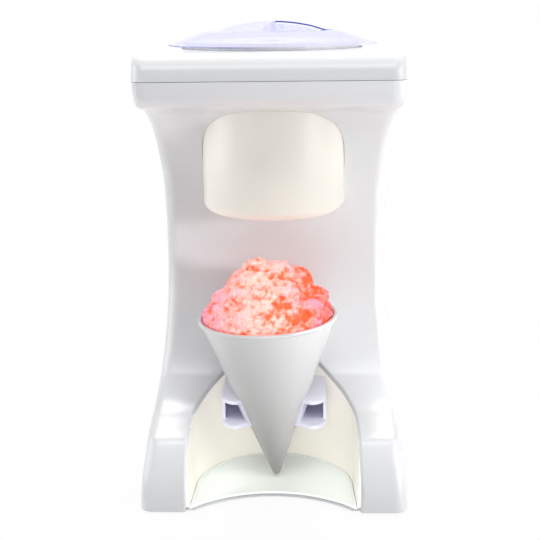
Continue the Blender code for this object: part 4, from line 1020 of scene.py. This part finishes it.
def deck_outline():
    """Plan of a deck: the alcove's wall behind, straight sides, and two round lobes in front."""
    half = HOLDER_HALF_WIDTH
    reach = holder_back_reach()
    wall = arc(0, ALCOVE_Y, ALCOVE_R - FIT, reach, 180 - reach, 60)
    turns = [math.pi / 2 * i / 20 for i in range(21)]
    start = HOLDER_FRONT_Y + LOBE_L
    corner = [(LOBE_X + (half - LOBE_X) * math.cos(t), start - LOBE_L * math.sin(t)) for t in turns]
    tip = arc(LOBE_X, HOLDER_FRONT_Y + LOBE_TIP_R, LOBE_TIP_R, -90, -90 - LOBE_TURN, 8)
    inner_x = LOBE_X / 2
    inner_y = tip[-1][1] + (tip[-1][0] - inner_x) * math.tan(math.radians(LOBE_TURN))
    right = [*corner, *tip[1:], (inner_x, inner_y)]
    left = [(-x, y) for x, y in reversed(right)]
    return [*right, *left, *reversed(wall)]


def holder():
    """Two decks, joined by side walls, a back and a collar round the cone."""
    low = LOWER_DECK_Z - HOLDER_T / 2
    high = UPPER_DECK_Z - HOLDER_T / 2
    outline = list(reversed(deck_outline()))
    made = prism("cone_fork", outline, UPPER_DECK_Z - HOLDER_T, UPPER_DECK_Z)
    lower = prism("lower_deck", outline, LOWER_DECK_Z - HOLDER_T, LOWER_DECK_Z)
    collar = around_cone("collar", COLLAR_T, low, high)
    combine(collar, "INTERSECT", prism("collar_trim", outline, low - OVER, high + OVER))
    outer = ALCOVE_R - FIT
    reach = holder_back_reach() + 0.5
    curve = arc(0, ALCOVE_Y, outer, reach, 180 - reach, 60)
    curve += arc(0, ALCOVE_Y, outer - HOLDER_SIDE_T, 180 - reach, reach, 60)
    walls = [prism("holder_back", curve, low, high)]
    back = ALCOVE_Y + math.sqrt(outer**2 - HOLDER_HALF_WIDTH**2) - FIT
    front = HOLDER_FRONT_Y + LOBE_L
    for sign in (-1, 1):
        x0, x1 = sorted((sign * HOLDER_HALF_WIDTH, sign * (HOLDER_HALF_WIDTH - HOLDER_SIDE_T)))
        walls.append(box(f"side_{sign}", (x0, front, low), (x1, back, high)))
    combine(made, "UNION", lower, *walls, collar)
    room = around_cone("cone_room", 0.0, LOWER_DECK_Z - HOLDER_T - OVER, UPPER_DECK_Z + OVER)
    combine(made, "DIFFERENCE", room, *[screw_hole(x) for x in (-HOLDER_SCREW_X, HOLDER_SCREW_X)])
    ease_edges(made, 0.0003, 50)
    lit_by_cards(dress(made, MATERIALS["holder_plastic"], "base", "cone_holder"))


def lid_surface(drop):
    """Half profile of the lid's top, from the middle to the rim, lowered by a drop."""
    radii = [LID_R * i / 60 for i in range(61)]
    return [(r, LID_RIM_Z + smooth(LID_SHAPE, r) - drop) for r in radii]


LEDGE_WIDTH = 0.0006
LEDGE_DEPTH = 0.0009
LID_RING_W = 0.010


def scoop(side, grow, sink):
    """Cutter of one finger scoop, grown in plan and sunk: side +1 is front right, -1 is back left."""
    floor = LID_RIM_Z + SCOOP_FLOOR - sink
    x, y = SCOOP_OUTER
    back = -GRIP_HALF + grow
    outline = [(x - grow, y), (0.09, y), (0.09, back), (SCOOP_INNER_X - grow, back)]
    made = prism("scoop", outline, floor, floor + 0.04)
    spin = Matrix.Rotation(0.0 if side > 0 else math.pi, 4, "Z")
    made.data.transform(Matrix.Translation((0, AXIS_Y, 0)) @ spin)
    return made


def scoop_ledge(side):
    """Cutter of the small step along a scoop's upper edge, as deep as LEDGE_DEPTH below the dome."""
    core = [*lid_surface(LEDGE_DEPTH), (LID_R, LID_RIM_Z - OVER), (0.0, LID_RIM_Z - OVER)]
    made = scoop(side, LEDGE_WIDTH, 0.0)
    combine(made, "DIFFERENCE", turned("lid_core", core, AXIS_Y))
    return made


def lid():
    """Clear lid: a domed wall with two finger scoops, which leave a bar to grip."""
    profile = [*lid_surface(0.0), (LID_R, LID_RIM_Z), (0.0, LID_RIM_Z)]
    dome = turned("lid", profile, AXIS_Y)
    under = [(r, z) for r, z in lid_surface(LID_WALL) if r < LID_R - LID_RING_W]
    low = LID_RIM_Z - OVER
    hollow = turned("lid_hollow", [*under, (under[-1][0], low), (0.0, low)], AXIS_Y)
    scoops = [scoop(side, 0.0, 0.0) for side in (1, -1)]
    combine(dome, "DIFFERENCE", *scoops, *[scoop_ledge(side) for side in (1, -1)])
    combine(hollow, "DIFFERENCE", *[scoop(side, LID_WALL, LID_WALL) for side in (1, -1)])
    combine(dome, "DIFFERENCE", hollow)
    paint_edge_shade(dome)
    dress(dome, MATERIALS["lid_plastic"], "lid", "lid_dome", 30)


# Painted shade on the lid's edges: share of the dark blue on the scoops' upper edges, and on the rim,
# darker on the left and fading to the right.
RIDGE_EDGE_SHADE = 1.0
SIDE_EDGE_SHADE = 0.7
BACK_EDGE_SHADE = 0.4
RIM_PAINTED_SHADE = (0.75, 0.12)
RIM_SHADE_FADE = 0.04
RIM_SKIN = 0.0002
FLOOR_SKIN = 0.0001


def scoop_edge_shade(y):
    """Share of painted shade on a scoop's upper edge, strongest along the bar at the front."""
    if y > 0:
        return BACK_EDGE_SHADE
    return RIDGE_EDGE_SHADE if y > -GRIP_HALF - LEDGE_WIDTH else SIDE_EDGE_SHADE


def paint_edge_shade(dome):
    """Paint how much dark blue shade each face takes: the upper edges of the scoops, and the rim, where it
    is a painted shadow line, darker on the left.
    """
    mesh = dome.data
    values = []
    for face in mesh.polygons:
        x, y, z = face.center
        y -= AXIS_Y
        spots = [mesh.vertices[index].co for index in face.vertices]
        radii = [math.hypot(spot.x, spot.y - AXIS_Y) for spot in spots]
        heights = [LID_RIM_Z + smooth(LID_SHAPE, radius) for radius in radii]
        depth = max(height - spot.z for height, spot in zip(heights, spots))
        above_floor = z >= LID_RIM_Z + SCOOP_FLOOR + FLOOR_SKIN
        value = 0.0
        # Painted shadow line along the rim, darker on the left.
        if min(radii) > LID_R - RIM_SKIN:
            share = min(max(0.5 - x / RIM_SHADE_FADE, 0.0), 1.0)
            value = RIM_PAINTED_SHADE[1] + (RIM_PAINTED_SHADE[0] - RIM_PAINTED_SHADE[1]) * share
        # Painted shade along the scoops' upper edges.
        elif above_floor and x * y < 0 and 0.4 * LEDGE_DEPTH < depth < 1.15 * LEDGE_DEPTH:
            value = scoop_edge_shade(y)
        values.append(value)
    attribute = mesh.attributes.new("painted_edge_shade", "FLOAT", "FACE")
    attribute.data.foreach_set("value", values)


ICE_SHAPE = (
    (0.0, 0.95),
    (0.20, 0.92),
    (0.36, 0.84),
    (0.48, 0.70),
    (0.62, 0.52),
    (0.76, 0.33),
    (0.88, 0.15),
    (0.945, 0.03),
)
ICE_LUMPS = (
    (-0.13, 0.04, 0.78, 0.22),
    (0.19, -0.06, 0.74, 0.21),
    (0.47, 0.04, 0.60, 0.21),
    (0.70, -0.08, 0.28, 0.20),
    (-0.38, -0.04, 0.58, 0.19),
    (-0.64, -0.08, 0.29, 0.18),
    (-0.34, -0.42, 0.48, 0.19),
    (0.0, -0.50, 0.46, 0.21),
    (0.34, -0.42, 0.48, 0.20),
    (-0.62, -0.34, 0.15, 0.17),
    (0.62, -0.42, 0.17, 0.19),
    (0.0, -0.75, 0.14, 0.19),
    (-0.30, -0.69, 0.16, 0.18),
    (-0.32, 0.42, 0.48, 0.21),
    (0.26, 0.46, 0.48, 0.21),
    (0.0, 0.72, 0.18, 0.19),
    (-0.60, 0.42, 0.18, 0.19),
    (0.57, 0.42, 0.21, 0.19),
)


def ice():
    """Heap of shaved ice: lumps melted together, then broken up into crystals by noise."""
    data = bpy.context.scene.snow_cone_ice
    height = CONE_RIM_Z - CONE_TIP_Z
    fill = cone_wall(CONE_WALL + FIT, height - 0.0035)
    profile = [(r * CONE_R, height + h * data.crown) for r, h in ICE_SHAPE]
    heap = turned("ice_heap", [*profile, *fill], steps=96)
    lumps = []
    for i, (x, y, h, size) in enumerate(ICE_LUMPS):
        bm = bmesh.new()
        bmesh.ops.create_icosphere(bm, subdivisions=4, radius=size * CONE_R)
        lump = solid(f"lump_{i}", bm)
        lump.data.transform(Matrix.Translation((x * CONE_R, y * CONE_R, height + h * data.crown)))
        lumps.append(lump)
    combine(heap, "UNION", *lumps)
    remesh = heap.modifiers.new("remesh", "REMESH")
    remesh.mode = "VOXEL"
    remesh.voxel_size = data.voxel
    settle(heap)
    crumble(heap, height, data)
    stand_cone(heap)
    lit_by_cards(dress(heap, MATERIALS["shaved_ice"], "cone", "shaved_ice", 180))


LUMP_SIZE = 0.010
LUMP_PUSH = 0.0016
ROUGH_SIZE = 0.0032
ROUGH_PUSH = 0.0010
FINE_SIZE = 0.0012
FINE_PUSH = 0.0005


def crumble(heap, height, data):
    """Push the heap's skin in and out in three sizes, and keep how much syrup each point holds."""
    mesh = heap.data
    count = len(mesh.vertices)
    spots = np.empty(count * 3, np.float32)
    mesh.vertices.foreach_get("co", spots)
    spots = spots.reshape(-1, 3)
    normals = np.array([v.normal for v in mesh.vertices])
    shift = Vector((data.seed, 0, 0))
    syrup = np.zeros(count, np.float32)
    rose = np.zeros(count, np.float32)
    for i in range(count):
        spot = Vector(spots[i])
        above = min(max((spot.z - height + 0.002) / 0.003, 0.0), 1.0)
        lumpy = noise.fractal(spot / LUMP_SIZE + shift, 0.8, 2.2, 3)
        rough = noise.fractal(spot / ROUGH_SIZE + shift, 0.9, 2.1, 2)
        fine = noise.noise(spot / FINE_SIZE + shift)
        push = LUMP_PUSH * lumpy + ROUGH_PUSH * rough + FINE_PUSH * fine
        spots[i] += normals[i] * push * above
        right = min(max((spot.x / CONE_R + 0.25) / 1.1, 0.0), 1.0)
        syrup[i] = min(max(0.16 + 0.55 * right - 1.1 * lumpy - 0.8 * rough, 0.0), 1.0)
        rose[i] = min(max(abs(spot.x / CONE_R) * 1.2 - 0.35 + 0.4 * lumpy, 0.0), 1.0)
    mesh.vertices.foreach_set("co", spots.ravel())
    for name, values in (("syrup", syrup), ("rose", rose)):
        attribute = mesh.attributes.new(name, "FLOAT", "POINT")
        attribute.data.foreach_set("value", values)
    mesh.update()


LID_SPRING = {"radius": 0.0032, "wire": 0.0004, "turns": 3}
PUSHER_SPRING = {"radius": 0.0091, "wire": 0.0005, "turns": 6}


def coil(name, node, radius, wire, turns, per_turn=28, sides=10):
    """A helical spring where the part's own spring stands, with a smoother wire."""
    low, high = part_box(node)
    x, y = (low[0] + high[0]) / 2, (low[1] + high[1]) / 2
    start, end = low[2] + wire, high[2] - wire
    rings = []
    for i in range(turns * per_turn + 1):
        turn = 2 * math.pi * i / per_turn
        out = Vector((math.cos(turn), math.sin(turn), 0))
        middle = Vector((x, y, start + (end - start) * i / (turns * per_turn))) + out * radius
        ring = []
        for k in range(sides):
            t = 2 * math.pi * k / sides
            ring.append(middle + out * wire * math.cos(t) + Vector((0, 0, wire * math.sin(t))))
        rings.append(ring)
    return loft(name, rings)


def springs():
    """The lid's three springs and the pusher's one, as coils where the part's springs stand."""
    for k in range(1, 4):
        node = f"lid_spring_{k}"
        made = dress(coil(f"lid_coil_{k}", node, **LID_SPRING), MATERIALS["steel"], "base", node)
        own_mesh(made)
    made = coil("pusher_coil", "pusher_spring", **PUSHER_SPRING)
    dress(made, MATERIALS["steel"], "lid", "pusher_spring")
    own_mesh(made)


def carried_over():
    """Give every node that stays from the part its own finish."""
    for name, node in frame["nodes"].items():
        if node.hide_render:
            continue
        node.data.materials.clear()
        node.data.materials.append(MATERIALS[SLOT_OF[name]])


# Studio

CAMERA_AT = (0.02351, -0.73807, 0.33364)
CAMERA_YAW = math.radians(2.14)
CAMERA_PITCH = math.radians(14.536)
CAMERA_ROLL = math.radians(-0.709)
SENSOR = 36.0


def camera():
    data = bpy.data.cameras.new("camera")
    data.sensor_width = SENSOR
    data.lens = bpy.context.scene.snow_cone_light.lens
    obj = bpy.data.objects.new("camera", data)
    bpy.context.scene.collection.objects.link(obj)
    aim = Matrix.Rotation(CAMERA_YAW, 4, "Z") @ Matrix.Rotation(math.pi / 2 - CAMERA_PITCH, 4, "X")
    obj.matrix_world = Matrix.Translation(CAMERA_AT) @ aim @ Matrix.Rotation(CAMERA_ROLL, 4, "Z")
    bpy.context.scene.camera = obj


ALCOVE_PIECES = "alcove_pieces"
WAIST_PIECES = "waist_pieces"


def lit_by_cards(obj):
    """Let the cards that throw light into the alcove reach a piece."""
    bpy.data.collections[ALCOVE_PIECES].objects.link(obj)


def lit_by_fill(obj):
    """Let the gridded lamp that fills the waist from the right reach a piece."""
    bpy.data.collections[WAIST_PIECES].objects.link(obj)


def softbox(name, at, target, size, power, only=None, spread=180):
    """A rectangular lamp that faces its target, and lights all pieces or only a collection."""
    data = bpy.data.lights.new(name, "AREA")
    data.shape = "RECTANGLE"
    data.size, data.size_y = size
    data.energy = power
    data.spread = math.radians(spread)
    obj = bpy.data.objects.new(name, data)
    obj.location = at
    obj.rotation_euler = (Vector(target) - Vector(at)).to_track_quat("-Z", "Y").to_euler()
    obj.light_linking.receiver_collection = only
    bpy.context.scene.collection.objects.link(obj)


def seen_directly(tree):
    """One where a ray from the lens, a gloss or a clear piece meets the surface, else nought."""
    path = add(tree, "ShaderNodeLightPath").outputs
    seen = worked_out(tree, "MAXIMUM", path["Is Camera Ray"], path["Is Glossy Ray"])
    return worked_out(tree, "MAXIMUM", seen, path["Is Transmission Ray"])


def either(tree, share, first, second):
    """Shader that goes over from the first to the second by a share."""
    links = {0: share, 1: first.outputs[0], 2: second.outputs[0]}
    return add(tree, "ShaderNodeMixShader", {}, links).outputs[0]


def room():
    world = bpy.data.worlds.new("room")
    bpy.context.scene.world = world
    world.use_nodes = True
    tree = world.node_tree
    tree.nodes.clear()
    strength = bpy.context.scene.snow_cone_light.room
    shown = add(tree, "ShaderNodeBackground", {"Color": (1, 1, 1, 1), "Strength": 1.0})
    daylight = {"Color": rgba(linear("#F7F9FF")), "Strength": strength}
    light = add(tree, "ShaderNodeBackground", daylight)
    both = either(tree, seen_directly(tree), light, shown)
    add(tree, "ShaderNodeOutputWorld", {}, {"Surface": both})


FLOOR_HALF = 6.0
SHADOW_NEAR = 0.12
SHADOW_FAR = 0.45
GLOW_NEAR = 0.90


def floor():
    """Pale paper that takes the object's shadow near it and runs out into the white room."""
    bm = bmesh.new()
    bmesh.ops.create_grid(bm, x_segments=1, y_segments=1, size=FLOOR_HALF)
    obj = solid("floor", bm)
    if obj.data.polygons[0].normal.z < 0:
        obj.data.flip_normals()
    made = bpy.data.materials.new("pale_floor")
    made.use_nodes = True
    tree = made.node_tree
    tree.nodes.clear()
    paper = add(tree, "ShaderNodeBsdfDiffuse", {"Color": rgba(linear("#F4F4F4"))})
    glow = add(tree, "ShaderNodeEmission", {"Color": (1, 1, 1, 1), "Strength": 1.0})
    spot = add(tree, "ShaderNodeTexCoord").outputs["Object"]
    reach = add(tree, "ShaderNodeVectorMath", {}, {0: spot}, operation="LENGTH").outputs["Value"]
    far = ranged(tree, reach, (SHADOW_NEAR, SHADOW_FAR, GLOW_NEAR, 1.0), "SMOOTHSTEP")
    both = either(tree, worked_out(tree, "MULTIPLY", seen_directly(tree), far), paper, glow)
    add(tree, "ShaderNodeOutputMaterial", {}, {"Surface": both})
    obj.data.materials.append(made)


FILL_SPREAD = 12


def studio():
    light = bpy.context.scene.snow_cone_light
    middle = (0.0, 0.0, 0.15)
    softbox("top_softbox", (0.0, -0.05, 1.2), (0.0, -0.02, 0.2), (1.4, 1.2), light.top)
    softbox("steep_strip", (0.0, -0.62, 1.15), (0.0, -0.05, 0.1), (1.0, 0.3), light.steep)
    softbox("back_strip", (0.0, 0.5, 1.2), (0.0, 0.0, 0.2), (1.0, 0.4), light.back)
    softbox("left_softbox", (-1.1, -0.15, 0.4), middle, (0.8, 1.0), light.left)
    softbox("right_softbox", (1.1, -0.51, 0.4), middle, (0.78, 1.4), light.right)
    softbox("front_softbox", (-0.9, -0.95, 0.35), middle, (0.6, 0.8), light.front)
    inside = bpy.data.collections.new(ALCOVE_PIECES)
    softbox("card", (0.0, -1.3, 0.3), middle, (0.5, 0.5), light.card, inside)
    softbox("high_card", (0.0, -0.9, 1.1), (0.0, 0.0, 0.2), (1.4, 0.5), light.card_top, inside)
    waist = bpy.data.collections.new(WAIST_PIECES)
    softbox("fill", (0.95, -0.57, 0.30), (0.02, -0.03, 0.16), (0.25, 0.25), light.fill, waist, FILL_SPREAD)
    bpy.context.scene.view_settings.view_transform = "Standard"
    room()
    floor()
    camera()


# Operators


class SNOWCONE_OT_stage(bpy.types.Operator):
    """Make the floor, the lamps and the camera"""

    bl_idname = "snowcone.stage"
    bl_label = "Studio"

    def execute(self, context):
        studio()
        return {"FINISHED"}


class SNOWCONE_OT_materials(bpy.types.Operator):
    """Make the materials"""

    bl_idname = "snowcone.materials"
    bl_label = "Materials"

    def execute(self, context):
        MATERIALS.update(make_materials())
        return {"FINISHED"}


class SNOWCONE_OT_shells(bpy.types.Operator):
    """Make the white housing and its top cover"""

    bl_idname = "snowcone.shells"
    bl_label = "Housing and cover"

    def execute(self, context):
        housing_shells()
        cover()
        return {"FINISHED"}


class SNOWCONE_OT_alcove(bpy.types.Operator):
    """Make the ivory lining, the tray and the cone fork"""

    bl_idname = "snowcone.alcove"
    bl_label = "Lining, tray and fork"

    def execute(self, context):
        lining()
        tray()
        holder()
        return {"FINISHED"}


class SNOWCONE_OT_drum(bpy.types.Operator):
    """Make the ivory drum"""

    bl_idname = "snowcone.drum"
    bl_label = "Drum"

    def execute(self, context):
        drum()
        return {"FINISHED"}


class SNOWCONE_OT_cone(bpy.types.Operator):
    """Make the cone cup and its shaved ice"""

    bl_idname = "snowcone.cone"
    bl_label = "Cone and ice"

    def execute(self, context):
        cup()
        ice()
        return {"FINISHED"}


class SNOWCONE_OT_lid(bpy.types.Operator):
    """Make the clear lid"""

    bl_idname = "snowcone.lid"
    bl_label = "Lid"

    def execute(self, context):
        lid()
        return {"FINISHED"}


class SNOWCONE_OT_springs(bpy.types.Operator):
    """Make the springs"""

    bl_idname = "snowcone.springs"
    bl_label = "Springs"

    def execute(self, context):
        springs()
        return {"FINISHED"}


class SNOWCONE_OT_carried_over(bpy.types.Operator):
    """Finish the pieces that stay from the part"""

    bl_idname = "snowcone.carried_over"
    bl_label = "Carried-over pieces"

    def execute(self, context):
        carried_over()
        return {"FINISHED"}


class SNOWCONE_PT_panel(bpy.types.Panel):
    """Lists the snow cone machine's pieces, colours and lamps"""

    bl_label = "Snow cone machine"
    bl_idname = "SNOWCONE_PT_panel"
    bl_space_type = "VIEW_3D"
    bl_region_type = "UI"
    bl_category = "Snow cone"

    def draw(self, context):
        for step in STEPS:
            self.layout.operator(step.bl_idname)
        for group in (getattr(context.scene, name) for name in GROUPS):
            column = self.layout.column(align=True)
            for name in group.__annotations__:
                column.prop(group, name)


STEPS = (
    SNOWCONE_OT_stage,
    SNOWCONE_OT_materials,
    SNOWCONE_OT_shells,
    SNOWCONE_OT_alcove,
    SNOWCONE_OT_drum,
    SNOWCONE_OT_cone,
    SNOWCONE_OT_lid,
    SNOWCONE_OT_springs,
    SNOWCONE_OT_carried_over,
)
GROUPS = {
    "snow_cone_colours": SnowConeColours,
    "snow_cone_light": SnowConeLight,
    "snow_cone_ice": SnowConeIce,
}


def register():
    for group in (*GROUPS.values(), *STEPS, SNOWCONE_PT_panel):
        bpy.utils.register_class(group)
    for name, group in GROUPS.items():
        setattr(bpy.types.Scene, name, PointerProperty(type=group))


def unregister():
    for name in GROUPS:
        delattr(bpy.types.Scene, name)
    for group in (SNOWCONE_PT_panel, *reversed(STEPS), *GROUPS.values()):
        bpy.utils.unregister_class(group)


def main():
    register()
    for step in STEPS:
        area, call = step.bl_idname.split(".")
        getattr(getattr(bpy.ops, area), call)()


if __name__ == "__main__":
    main()
